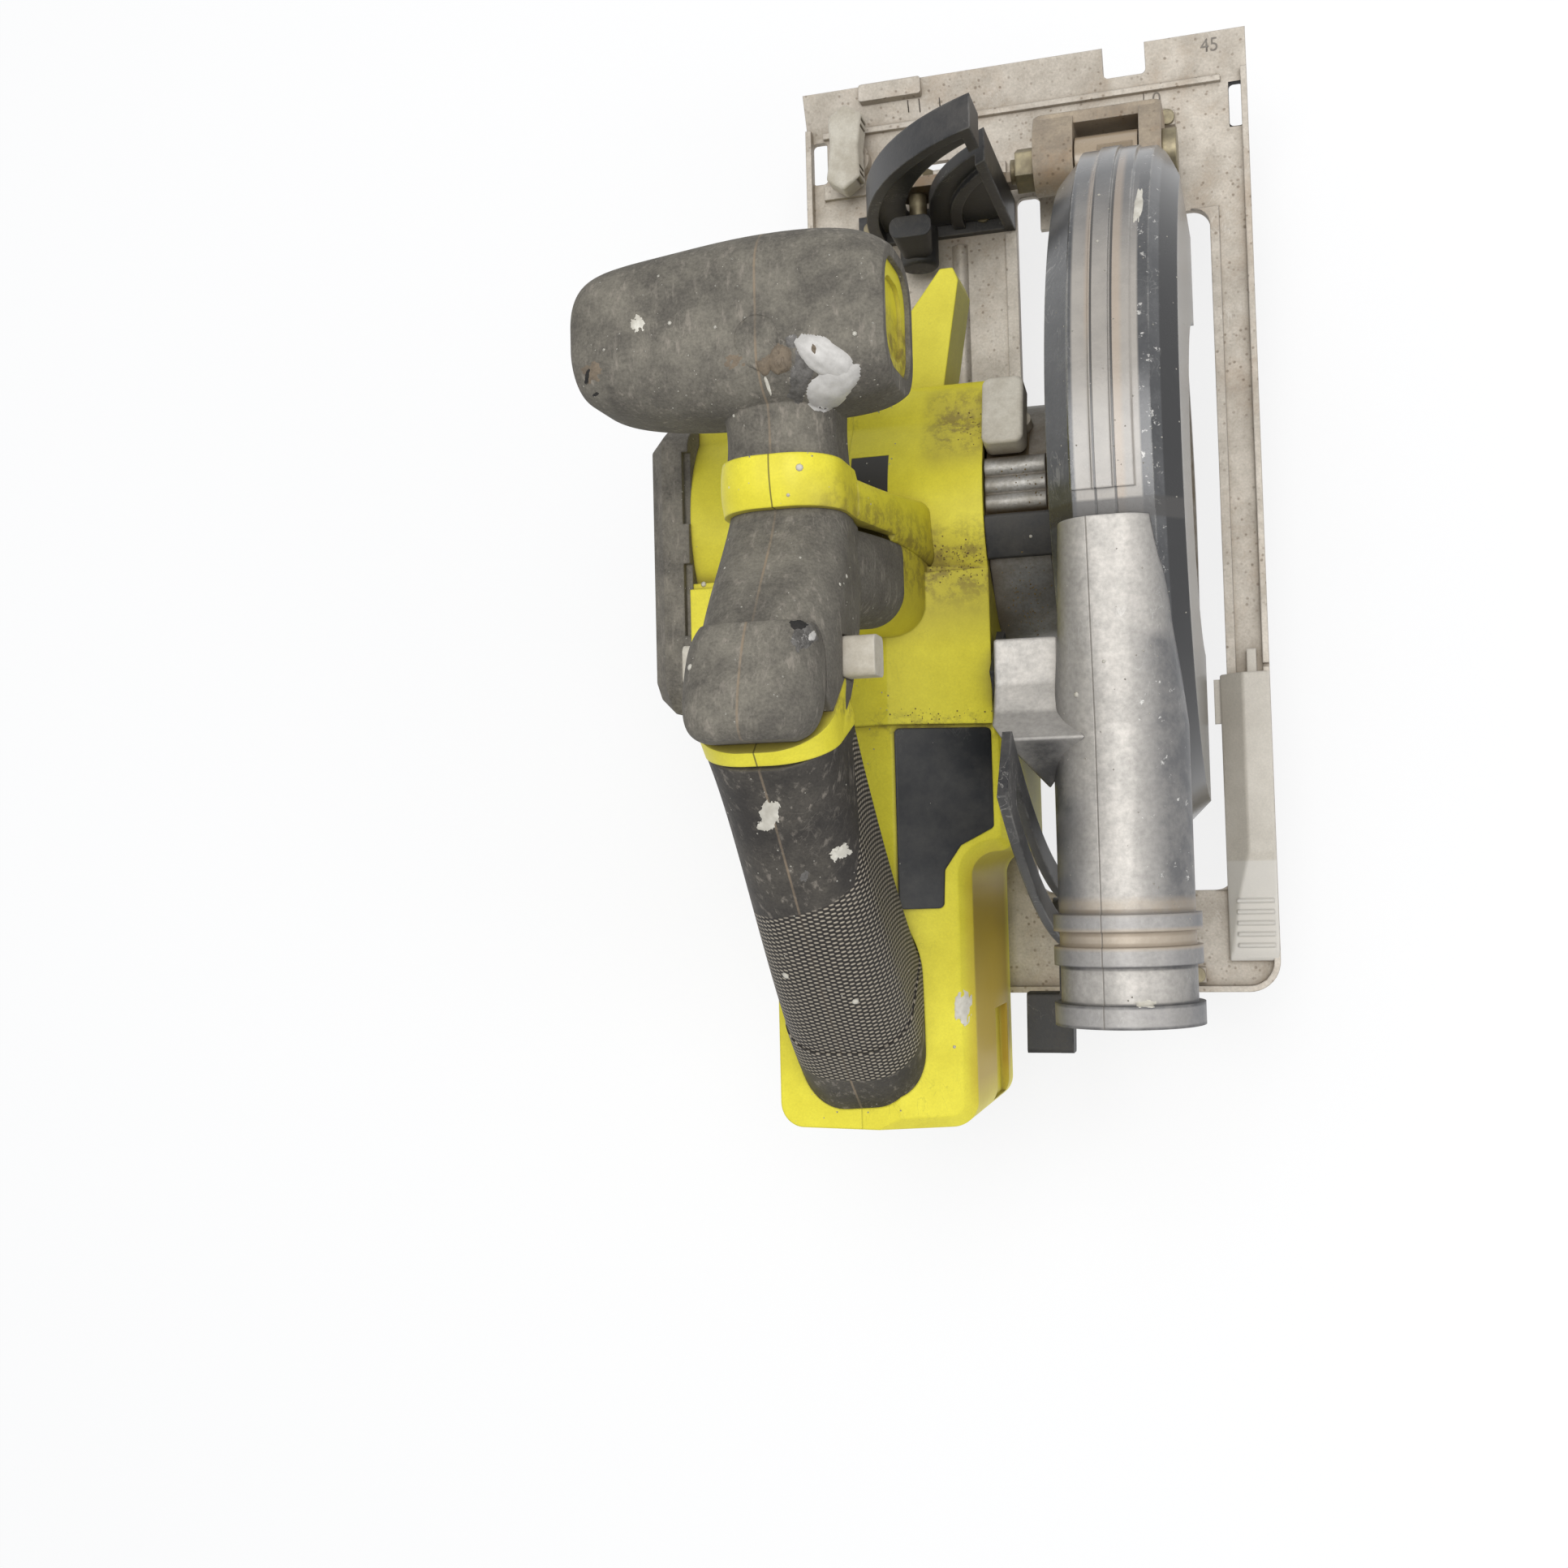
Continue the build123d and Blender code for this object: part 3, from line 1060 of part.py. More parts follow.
def spindle_lock():
    """Button on the gear case whose pin reaches towards the drive gear."""
    travel = Axis((0, 0, 0), (0, *lock_axis()))
    pad = lock_block(LOCK_WIDE, LOCK_LONG, LOCK_FOOT, LOCK_TOP)
    pad = fillet(pad.edges().filter_by(travel), 2.5)
    pad = fillet(pad.edges().sort_by(travel)[-8:], 1.2)
    return pad + lock_rod(-31, 29, 58, 2.5)


def depth_lever():
    """Depth clamp lever: slim arm along the guide with a broad thumb pad behind the shoe."""
    y, z = -GUIDE_R, DEPTH_Z - 1
    outline = [(y + 5, z - 5), (y + 5, z + 5), (-270, z + 8), (-288, z + 10), (-288, z + 3), (-270, z - 1)]
    arm = side_slab(outline, -33, -28.9, 1)
    pad = side_slab([(-269, z - 1), (-269, z + 8), (-288, z + 10), (-288, z + 3)], -43.5, -28.9, 1.2)
    return arm + pad + rod_x(-35, -28.9, y, z, 6) - rod_x(-43, -20, y, z, 3)


def depth_clamp_bolt():
    y, z = -GUIDE_R, DEPTH_Z - 1
    return rod_x(-34.5, -16, y, z, 3) + rod_x(-16.1, -13.5, y, z, 5.5)


NODES = {
    "shoe_plate": shoe_plate,
    "bevel_quadrant": bevel_quadrant,
    "hinge_lugs": hinge_lugs,
    "hinge_pins": hinge_pins,
    "shoe_rivets": shoe_rivets,
    "rail_cover": rail_cover,
    "fence_knob": fence_knob,
    "fence_screw": fence_screw,
    "bevel_lever": bevel_lever,
    "bevel_stud": bevel_stud,
    "front_yoke": front_yoke,
    "depth_bolt": depth_bolt,
    "depth_guide": depth_guide,
    "tilt_bracket": tilt_bracket,
    "upper_guard": upper_guard,
    "dust_chute": dust_chute,
    "gear_case": gear_case,
    "gear_cover": gear_cover,
    "gear_shroud": gear_shroud,
    "lower_guard": lower_guard,
    "guard_lever": guard_lever,
    "guard_spring": guard_spring,
    "drive_gear": drive_gear,
    "pinion_shaft": pinion_shaft,
    "armature": armature,
    "commutator": commutator,
    "cooling_fan": cooling_fan,
    "motor_can": motor_can,
    "brushes": brushes,
    "bearings": bearings,
    "spindle": spindle,
    "inner_flange": inner_flange,
    "outer_flange": outer_flange,
    "blade_bolt": blade_bolt,
    "saw_blade": saw_blade,
    "housing_right": lambda: housing_half(True),
    "housing_left": lambda: housing_half(False),
    "case_screws": case_screws,
    "motor_end_cap": motor_end_cap,
    "blank_plate": blank_plate,
    "light_arm": light_arm,
    "light_lens": light_lens,
    "pommel_grip": pommel_grip,
    "pommel_core": pommel_core,
    "pommel_insets": pommel_insets,
    "pommel_plug": pommel_plug,
    "pommel_collar": pommel_collar,
    "front_grip": front_grip,
    "hump_cover": hump_cover,
    "grip_band": grip_band,
    "main_grip": main_grip,
    "grip_pad": grip_pad,
    "grip_end_cap": grip_end_cap,
    "battery_terminals": battery_terminals,
    "trigger": trigger,
    "switch_body": switch_body,
    "lock_off_button": lock_off_button,
    "spindle_lock": spindle_lock,
    "depth_lever": depth_lever,
    "depth_clamp_bolt": depth_clamp_bolt,
}

for name, make in NODES.items():
    made = make()
    solids = made if isinstance(made, list) else [made]
    shape = solids[0]
    if len(solids) > 1:
        shape = Compound(children=[s.solid() for s in solids])
    export_step(shape, f"parts/{name}.step")
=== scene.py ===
# %% [markdown]
# # Dressing a cordless circular saw
# The saw comes in as solids, one for each moulding, casting or pressing. This lesson gives them their
# surfaces and adds two slanted mouldings, scale marks, drops of dried paint, smears of filler and sawdust.
# Lengths are in metres unless a name or comment says millimetres. The axes are the saw's own: +X to the
# blade side, +Y along the cut, +Z up.

# %% Load the saw
import math
import random

import bmesh
import bpy
from mathutils import Matrix, Vector, noise
from mathutils.bvhtree import BVHTree


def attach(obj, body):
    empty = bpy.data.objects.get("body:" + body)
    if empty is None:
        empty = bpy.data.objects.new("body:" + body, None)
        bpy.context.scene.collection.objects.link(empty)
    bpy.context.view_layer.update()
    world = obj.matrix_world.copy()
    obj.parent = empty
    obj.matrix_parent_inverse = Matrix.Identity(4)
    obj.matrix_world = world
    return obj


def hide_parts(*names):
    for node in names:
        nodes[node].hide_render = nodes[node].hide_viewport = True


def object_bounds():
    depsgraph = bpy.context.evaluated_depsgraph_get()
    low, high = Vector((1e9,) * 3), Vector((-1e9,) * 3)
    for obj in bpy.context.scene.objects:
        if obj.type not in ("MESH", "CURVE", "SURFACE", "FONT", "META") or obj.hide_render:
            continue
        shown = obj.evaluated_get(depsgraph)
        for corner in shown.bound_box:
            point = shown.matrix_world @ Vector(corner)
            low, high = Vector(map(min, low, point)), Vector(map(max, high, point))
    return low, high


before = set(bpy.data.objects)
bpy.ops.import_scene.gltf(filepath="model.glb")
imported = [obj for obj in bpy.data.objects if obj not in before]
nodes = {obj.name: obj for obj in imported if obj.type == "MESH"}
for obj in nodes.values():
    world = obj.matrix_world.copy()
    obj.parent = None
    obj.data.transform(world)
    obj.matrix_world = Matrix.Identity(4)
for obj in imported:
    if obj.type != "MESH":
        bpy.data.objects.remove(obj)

X, Y, Z = 0, 1, 2
cad_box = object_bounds()
scene = bpy.context.scene
link = scene.collection.objects.link

# %% [markdown]
# ## The camera
# The photograph looks almost straight down on the saw from above its handle. A camera is a place and three
# directions, so it is written as a matrix whose columns are its right, its up and its back. That is safer
# than three angles, whose order is easy to mix up. The focal length is 2100 pixels over a picture 1932
# pixels wide.

# %% Camera
PICTURE = 1932
FOCAL_PIXELS = 2100
SENSOR_MM = 36
EYE = Vector((0.0401, -0.2271, 0.5773))
RIGHT = Vector((0.9576, -0.0247, -0.2869)).normalized()
BACK = Vector((0.2855, -0.0487, 0.9571)).normalized()
UP = BACK.cross(RIGHT).normalized()
lens = bpy.data.cameras.new("photo_camera")
lens.sensor_width = SENSOR_MM
lens.lens = SENSOR_MM * FOCAL_PIXELS / PICTURE
lens.clip_start = 0.01
camera = bpy.data.objects.new("photo_camera", lens)
camera.matrix_world = Matrix((UP.cross(BACK), UP, BACK)).transposed().to_4x4()
camera.location = EYE
link(camera)
scene.camera = camera
scene.view_settings.view_transform = "Standard"
print("camera lens", round(lens.lens, 2), "mm at", tuple(round(c, 3) for c in EYE))

# %% [markdown]
# ## Nodes and colours
# Light and materials are both built from nodes. One small function adds a node with its settings and links,
# so a tree can be read from top to bottom. Colours are picked as sRGB hex codes, as on a screen, and one
# function turns them into the linear light that Blender's sockets want.

# %% One small function for every node
def add(tree, kind, inputs=None, **settings):
    """Add a shader node, named by its kind and, after a dot, its operation.

    An input is a value, a socket, or a node whose first output is meant.
    """
    kind, dot, operation = kind.partition(".")
    node = tree.nodes.new("ShaderNode" + kind)
    if dot:
        node.operation = operation
    for name, value in settings.items():
        setattr(node, name, value)
    for name, value in (inputs or {}).items():
        if isinstance(value, bpy.types.Node):
            value = value.outputs[0]
        if isinstance(value, bpy.types.NodeSocket):
            tree.links.new(value, node.inputs[name])
        else:
            node.inputs[name].default_value = value
    return node


def srgb(code):
    """The linear colour of an sRGB hex code, as Blender's sockets want it."""
    parts = [int(code[i:i + 2], 16) / 255 for i in (1, 3, 5)]
    linear = [c / 12.92 if c <= 0.04045 else ((c + 0.055) / 1.055) ** 2.4 for c in parts]
    return (*linear, 1.0)


print("mid grey is", [round(c, 3) for c in srgb("#808080")])

# %% [markdown]
# ## Light and floor
# A product photograph on white needs soft light from nearly everywhere. A lamp alone would leave black
# shadows and an even sky would look flat, so the world gives a fill and one broad lamp overhead gives the
# shapes their shading. Rays from the camera, also by way of a mirror or a lens, see plain white. The floor
# is white paper that glows a little for the same rays and still takes the saw's shadow.

# %% Rays that are seen
def seen_directly(tree):
    """A mask that is one for rays from the camera, also by way of a mirror or a lens."""
    rays = add(tree, "LightPath").outputs
    seen = rays["Is Camera Ray"]
    for kind in ("Is Glossy Ray", "Is Transmission Ray"):
        seen = add(tree, "Math.MAXIMUM", {0: seen, 1: rays[kind]})
    return seen


WHITE = srgb("#FFFFFF")
print("white is", WHITE)

# %% World
FILL = 0.62
world = bpy.data.worlds.new("white_studio")
scene.world = world
world.use_nodes = True
tree = world.node_tree
tree.nodes.clear()
fill = add(tree, "Background", {"Color": srgb("#F4F6FA"), "Strength": FILL})
white = add(tree, "Background", {"Color": WHITE, "Strength": 1.0})
both = add(tree, "MixShader", {0: seen_directly(tree), 1: fill, 2: white})
add(tree, "OutputWorld", {0: both})
print("world fill strength", FILL, "and white to the camera")

# %% Lamps
def soft_lamp(name, place, aim, size, watts):
    """A square area lamp at a place, turned towards a point."""
    lamp = bpy.data.lights.new(name, "AREA")
    lamp.size = size
    lamp.energy = watts
    thing = bpy.data.objects.new(name, lamp)
    thing.location = place
    thing.rotation_euler = (Vector(aim) - Vector(place)).to_track_quat("-Z", "Y").to_euler()
    link(thing)


soft_lamp("overhead_lamp", (0.06, 0.0, 1.4), (-0.05, -0.12, 0.05), 0.8, 11.0)
soft_lamp("side_lamp", (0.9, -0.5, 0.8), (-0.03, -0.12, 0.05), 0.5, 2.0)
print("two lamps")

# %% Floor
FLOOR_HALF = 3.0
FLOOR_Z = cad_box[0][2] - 0.0002
GLOW_SHARE = 0.72
paper = bpy.data.materials.new("white_paper_floor")
paper.use_nodes = True
tree = paper.node_tree
tree.nodes.clear()
share = add(tree, "Math.MULTIPLY", {0: seen_directly(tree), 1: GLOW_SHARE})
matt = add(tree, "BsdfDiffuse", {"Color": srgb("#FAFAFA")})
glow = add(tree, "Emission", {"Color": WHITE, "Strength": 1.0})
both = add(tree, "MixShader", {0: share, 1: matt, 2: glow})
add(tree, "OutputMaterial", {0: both})
bm = bmesh.new()
bmesh.ops.create_grid(bm, x_segments=1, y_segments=1, size=FLOOR_HALF)
bmesh.ops.translate(bm, verts=bm.verts, vec=(0, 0, FLOOR_Z))
floor_mesh = bpy.data.meshes.new("paper_floor")
bm.to_mesh(floor_mesh)
bm.free()
floor_mesh.materials.append(paper)
floor = bpy.data.objects.new("paper_floor", floor_mesh)
link(floor)
print("floor at", round(FLOOR_Z, 4))

# %% [markdown]
# ## What all worn surfaces share
# A used tool shows the same few things whatever it is made of: its colour is uneven, its mould left a fine
# grain, scratches cross it, edges are rubbed, dust settles in corners and on faces that look up, and drops
# of paint have dried on it. Painting each piece by hand would take days, so each of these is a layer with a
# real size. A finish is a dictionary that carries the tree and the colour from one layer to the next.

# %% Tone and grain
def per_mm(size):
    """Texture scale for a pattern whose cells are this many millimetres wide."""
    return 1000.0 / size


def lay(finish, code, cover):
    """Lay a colour over a finish where the cover is one."""
    mixed = add(finish["tree"], "Mix", {0: cover, 6: finish["colour"], 7: srgb(code)}, data_type="RGBA")
    finish["colour"] = mixed.outputs[2]


def patches(finish, size_mm, low, high, detail=9, roughness=0.5, least=0.0, most=1.0):
    """A mask of soft patches: least where a noise of this size is below low, most where it is above high."""
    t, scale = finish["tree"], per_mm(size_mm)
    cloud = {"Vector": finish["at"], "Scale": scale, "Detail": detail, "Roughness": roughness}
    return add(t, "MapRange", {0: add(t, "TexNoise", cloud), 1: low, 2: high, 3: least, 4: most})


def tone_layer(name, tones, tone_mm):
    """Start a finish: a material whose colour drifts between two tones in soft patches."""
    made = bpy.data.materials.new(name)
    made.use_nodes = True
    t = made.node_tree
    t.nodes.clear()
    place = add(t, "TexCoord").outputs
    at, up = place["Object"], add(t, "SeparateXYZ", {0: place["Normal"]}).outputs[Z]
    clouds = add(t, "TexNoise", {"Vector": at, "Scale": per_mm(tone_mm), "Detail": 9, "Roughness": 0.72})
    patch = add(t, "MapRange", {0: clouds, 1: 0.4, 2: 0.62})
    colour = add(t, "Mix", {0: patch, 6: srgb(tones[0]), 7: srgb(tones[1])}, data_type="RGBA").outputs[2]
    return dict(material=made, tree=t, at=at, up=up, clouds=clouds, patch=patch, colour=colour)


def grain_layer(finish, grain_mm, grain):
    """Darken and lighten the colour with a fine grain, which the relief uses again."""
    t = finish["tree"]
    fine = add(t, "TexNoise", {"Vector": finish["at"], "Scale": per_mm(grain_mm), "Detail": 3,
                               "Roughness": 0.6})
    dapple = add(t, "MapRange", {0: fine, 1: 0.3, 2: 0.7, 3: 1 - 0.5 * grain, 4: 1 + 0.35 * grain})
    shaded = add(t, "Mix", {0: 1.0, 6: finish["colour"], 7: dapple}, data_type="RGBA", blend_type="MULTIPLY")
    finish.update(fine=fine, dapple=dapple, colour=shaded.outputs[2])


print("tone and grain ready")

# %% [markdown]
# ### Scratches and rubbed edges
# A scratch is the thin line where a stretched noise crosses its middle value, and a second noise keeps
# scratches in groups. A bevel node looks at the surface round a point and gives a rounded normal. Where
# that differs from the true normal there is an edge, which hands and benches rub bare.

# %% Scratches and edges
SCRATCH_MM, SCRATCH_GROUP_MM = 7, 19


def scuff_layer(finish, code, amount):
    """Fine scratches, drawn out along the saw and gathered in groups."""
    t = finish["tree"]
    drag = add(t, "Mapping", {0: finish["at"], 3: (1.0, 0.45, 1.0)})
    lines = add(t, "TexNoise", {"Vector": drag, "Scale": per_mm(SCRATCH_MM), "Detail": 7, "Distortion": 1.6})
    lines = add(t, "Math.SUBTRACT", {0: lines, 1: 0.5})
    lines = add(t, "Math.ABSOLUTE", {0: lines})
    lines = add(t, "MapRange", {0: lines, 1: 0.012, 2: 0.004})
    where = patches(finish, SCRATCH_GROUP_MM, 0.52, 0.7, detail=3, most=amount)
    lay(finish, code, add(t, "Math.MULTIPLY", {0: lines, 1: where}))


def rub_layer(finish, code, width_mm, amount):
    """A rubbed colour on edges; the rounded normal that finds them also softens them in the light."""
    t = finish["tree"]
    soft = add(t, "Bevel", {0: width_mm / 1000}, samples=4)
    true = add(t, "NewGeometry").outputs["Normal"]
    agree = add(t, "VectorMath.DOT_PRODUCT", {0: soft, 1: true}).outputs["Value"]
    rub = add(t, "MapRange", {0: agree, 1: 0.99, 2: 0.86, 4: amount})
    lay(finish, code, add(t, "Math.MULTIPLY", {0: rub, 1: finish["patch"]}))
    finish["soft"] = soft


print("scratches and edges ready")

# %% [markdown]
# ### Dust and specks
# An ambient occlusion node says how much open sky a point sees. Corners see little, and dust stays there.
# Dust also lies on faces whose normal points up. The specks are cells of a Voronoi pattern: a cell's own
# random colour decides how large its drop is, and more than half of the cells have none.

# %% Dust and specks
SHELTER_REACH = 0.014
SPECK_CELL_MM = 13
SPECK_PALE = "#DAD6CB"


def dust_layer(finish, code, corners, lying):
    """Dust in sheltered corners and on faces that look up."""
    t = finish["tree"]
    open_sky = add(t, "AmbientOcclusion", {"Distance": SHELTER_REACH}, samples=6).outputs["AO"]
    shelter = add(t, "MapRange", {0: open_sky, 1: 0.75, 2: 0.2, 4: corners})
    settled = add(t, "MapRange", {0: finish["up"], 1: 0.2, 2: 1.0, 4: lying})
    settled = add(t, "Math.MULTIPLY", {0: settled, 1: finish["patch"]})
    dusty = add(t, "Math.ADD", {0: shelter, 1: settled}, use_clamp=True)
    dusty = add(t, "Math.MULTIPLY", {0: dusty, 1: finish["dapple"]}, use_clamp=True)
    lay(finish, code, dusty)
    finish["dusty"] = dusty


def speck_layer(finish, amount):
    """Small round specks of pale paint."""
    t = finish["tree"]
    cells = {"Vector": finish["at"], "Scale": per_mm(SPECK_CELL_MM)}
    drops = add(t, "TexVoronoi", cells).outputs
    size = add(t, "MapRange", {0: drops["Color"], 1: 0.55, 2: 1.0, 4: 0.055})
    drop = add(t, "Math.LESS_THAN", {0: drops["Distance"], 1: size})
    drop = add(t, "Math.MULTIPLY", {0: drop, 1: amount})
    lay(finish, SPECK_PALE, drop)
    finish["drop"] = drop


print("dust and specks ready")

# %% [markdown]
# ### The whole recipe
# The layers follow in the order in which a tool meets them, from the mould to the last splash of paint.
# Dust also makes the surface duller, and the grain and the specks stand up in a bump of a few tenths of a
# millimetre.

# %% The worn surface recipe
RELIEF = 0.0003


def worn_surface(name, tones, tone_mm, dust, edge, scuff, grain_mm=0.5, grain=0.25, rough=0.5, metallic=0.0,
                 specular=0.4, corners=0.5, lying=0.2, edge_mm=0.8, rubbed=0.3, specks=0.0, scuffs=0.3):
    """A finish with tone, grain, scratches, rubbed edges, dust and specks of paint."""
    finish = tone_layer(name, tones, tone_mm)
    grain_layer(finish, grain_mm, grain)
    scuff_layer(finish, scuff, scuffs)
    rub_layer(finish, edge, edge_mm, rubbed)
    dust_layer(finish, dust, corners, lying)
    speck_layer(finish, specks)
    t = finish["tree"]
    shine = add(t, "MapRange", {0: finish["dusty"], 1: 0.0, 2: 0.8, 3: rough, 4: min(1.0, rough + 0.3)})
    height = add(t, "Math.MULTIPLY", {0: finish["fine"], 1: grain})
    height = add(t, "Math.ADD", {0: height, 1: finish["drop"]})
    relief = add(t, "Bump", {"Strength": 0.5, "Distance": RELIEF, "Height": height, "Normal": finish["soft"]})
    skin = add(t, "BsdfPrincipled", {"Base Color": finish["colour"], "Roughness": shine, "Metallic": metallic,
                                     "Specular IOR Level": specular, "Normal": relief})
    add(t, "OutputMaterial", {0: skin})
    finish.update(height=height, relief=relief, skin=skin)
    return finish


print("recipe ready")

# %% [markdown]
# ## Marks that sit in one place
# Some dirt has a place of its own, such as the grime behind the motor or the seam down both handles. A
# painted image would need an unwrapped surface, so these are drawn from the object's coordinates: a band is
# one where a coordinate is near a value and zero elsewhere, and bands across two or three axes multiply to
# a box.

# %% Bands and marks
def band(finish, axis, centre_mm, half_mm, soft_mm):
    """A mask that is one within half_mm of a plane across an axis, and fades over soft_mm."""
    t = finish["tree"]
    along = add(t, "SeparateXYZ", {0: finish["at"]}).outputs[axis]
    off = add(t, "Math.SUBTRACT", {0: along, 1: centre_mm / 1000})
    off = add(t, "Math.ABSOLUTE", {0: off})
    near, far = half_mm / 1000, (half_mm + soft_mm) / 1000
    return add(t, "MapRange", {0: off, 1: far, 2: near})


def mark(finish, code, *masks, depth=0.0):
    """Lay a colour where all masks are one, and sink the relief there; a negative depth raises it.

    A mask of four values is a band: its axis, then its centre, half width and fade in millimetres.
    """
    t = finish["tree"]
    masks = [band(finish, *mask) if isinstance(mask, tuple) else mask for mask in masks]
    cover = masks[0]
    for other in masks[1:]:
        cover = add(t, "Math.MULTIPLY", {0: cover, 1: other}, use_clamp=True)
    lay(finish, code, cover)
    t.links.new(finish["colour"], finish["skin"].inputs["Base Color"])
    sunk = add(t, "Math.MULTIPLY_ADD", {0: cover, 1: -depth, 2: finish["height"]})
    t.links.new(sunk.outputs[0], finish["relief"].inputs["Height"])
    finish["height"] = sunk


def dress(finish, names):
    """Give a finish to CAD nodes, named in one string with spaces between them."""
    for name in names.split():
        mesh = nodes[name].data
        mesh.materials.clear()
        mesh.materials.append(finish["material"])
    print(finish["material"].name, "on", len(names.split()), "nodes")


HANDLE_X = -82
print("bands and marks ready")

# %% [markdown]
# ## Lime nylon
# The motor housing, battery box, collar, band and light arm are glass filled nylon, moulded with a fine
# spark texture that makes it satin rather than glossy. Hands have stained the flank of the battery box
# ochre. Sawdust lies in the valley behind the motor barrel, as bands with cloud noise in them so that they
# have no straight edge.

# %% Lime nylon
lime = worn_surface(
    "spark_textured_lime_nylon", ("#E4D93E", "#DACE34"), tone_mm=20, grain_mm=0.6, grain=0.12, rough=0.46,
    specular=0.35, dust="#7D6E43", corners=0.8, lying=0.05, edge="#ECE965", edge_mm=0.9, rubbed=0.35,
    specks=0.6, scuff="#9C942A")
crumbly = patches(lime, 5, 0.46, 0.58, roughness=0.75)
# Sawdust in the valley behind the motor, beside the spindle lock and along the foot of the raised block.
mark(lime, "#6B5A35", (Y, -141, 4, 11), (X, -52, 12, 9), crumbly, 0.75)
mark(lime, "#8F7F3A", (Y, -146, 9, 10), (X, -56, 14, 10), 0.45)
mark(lime, "#6E5C36", (Y, -98, 6, 6), (X, -50, 5, 6), crumbly, 0.75)
mark(lime, "#8F7F3A", (Y, -100, 9, 6), (X, -50, 6, 6), 0.4)
mark(lime, "#6E5C36", (Y, -187.5, 1.5, 3), (X, -56, 16, 6), crumbly, 0.5)
# Ochre hand stain on the flank of the battery box.
mark(lime, "#A5831F", (X, -47, 4.5, 2), (Y, -262, 28, 14), (Z, 58, 26, 8), 0.8)
# The seam between the two halves of the collar and the band.
mark(lime, "#5C5424", (X, HANDLE_X, 0.14, 0.12), (Z, 185, 25, 1), 0.85, depth=0.8)
# A dark patch, sunk a little, on the barrel beside the collar.
mark(lime, "#34322F", (X, -75.5, 5.5, 0.3), (Y, -113.5, 6.5, 0.3), (Z, 104, 20, 1), depth=0.8)
dress(lime, "housing_right housing_left pommel_insets pommel_collar grip_band light_arm")

# %% [markdown]
# ## Overmoulded rubber
# The handles, the motor's end cap and the grip's end are covered in a thermoplastic rubber. New, it is
# black. After years it holds pale dust in its grain and looks grey, palest on top. Two halves meet in the
# middle of the handle, and the seam there is a fine groove filled with dust.

# %% Dusty rubber
STROKE_MM = 2.2
STROKE_TURN = math.radians(-35)


def rubber_finish(name, tones, lying, rough=0.8, **more):
    """Overmoulded rubber with short pale strokes and the seam down the middle of the handle."""
    made = worn_surface(
        name, tones, grain_mm=0.7, grain=0.5, rough=rough, specular=0.28, dust="#9A9486", lying=lying,
        edge="#7B756D", edge_mm=1.0, rubbed=0.45, scuff="#8F887E", **more)
    t = made["tree"]
    slanted = add(t, "Mapping", {0: made["at"], 2: (0, 0, STROKE_TURN), 3: (1.0, 0.28, 1.0)})
    strokes = {"Vector": slanted, "Scale": per_mm(STROKE_MM), "Detail": 4, "Roughness": 0.65}
    strokes = add(t, "MapRange", {0: add(t, "TexNoise", strokes), 1: 0.56, 2: 0.68})
    share = add(t, "MapRange", {0: made["clouds"], 1: 0.38, 2: 0.62, 3: 0.2, 4: 0.85})
    mark(made, "#958D82", strokes, share, 0.85)
    mark(made, "#8C7C68", (X, HANDLE_X, 0.2, 0.2), share, depth=0.8)
    return made


dusty_rubber = rubber_finish(
    "dusty_overmoulded_rubber", ("#5B5750", "#69655C"), 0.34, tone_mm=13, corners=0.25, specks=0.9,
    scuffs=0.5)
dress(dusty_rubber, "pommel_grip front_grip hump_cover pommel_plug")
boot_rubber = rubber_finish(
    "moulded_boot_rubber", ("#5F5B54", "#6F6A61"), 0.34, tone_mm=14, corners=0.25, specks=0.7, scuffs=0.5)
dress(boot_rubber, "motor_end_cap")

# %% [markdown]
# ## The meshed grip
# The upper part of the handle is smooth and polished by hands. The lower part and one flank have a moulded
# mesh of small raised cells. The pattern needs two distances on the surface: along the grip, which is a dot
# product with its direction, and around it, which is the angle around its axis times its radius. Two sine
# waves multiplied give a field of round cells.

# %% Cells of the mesh
GRIP_ALONG = Vector((0, -0.743, -0.669))
GRIP_OUT = Vector((0, -0.669, 0.743))
GRIP_MIDDLE = Vector((-0.082, -0.236, 0.106))
GRIP_RADIUS = 0.019
# One cell and the gap beside it, drawn as coarse as they have to be to show in the render.
CELL_MM = 1.5
grip = rubber_finish(
    "meshed_grip_rubber", ("#33302D", "#423E39"), 0.15, rough=0.6, tone_mm=26, corners=0.3, specks=0.8)
t = grip["tree"]
from_axis = add(t, "VectorMath.SUBTRACT", {0: grip["at"], 1: GRIP_MIDDLE})
along = add(t, "VectorMath.DOT_PRODUCT", {0: from_axis, 1: GRIP_ALONG}).outputs["Value"]
out = add(t, "VectorMath.DOT_PRODUCT", {0: from_axis, 1: GRIP_OUT}).outputs["Value"]
side = add(t, "SeparateXYZ", {0: from_axis}).outputs[X]
turn = add(t, "Math.ARCTAN2", {0: side, 1: out})
around = add(t, "Math.MULTIPLY", {0: turn, 1: GRIP_RADIUS})
waves = []
for distance in (along, around):
    phase = add(t, "Math.MULTIPLY", {0: distance, 1: 2000 * math.pi / CELL_MM})
    waves.append(add(t, "Math.SINE", {0: phase}))
cells = add(t, "Math.MULTIPLY", {0: waves[0], 1: waves[1]})
cells = add(t, "MapRange", {0: cells, 1: 0.05, 2: 0.6})
print("cells", CELL_MM, "mm apart")

# %% [markdown]
# ### Where the mesh is
# The same two distances say where the mesh is: below a line that slopes across the grip and climbs steeply
# on the flank, above a curved foot, and always inside a smooth rim. Each border is a soft step, and a
# product of steps is a zone. The gaps are darkened first, then the cells are raised and dusted pale.

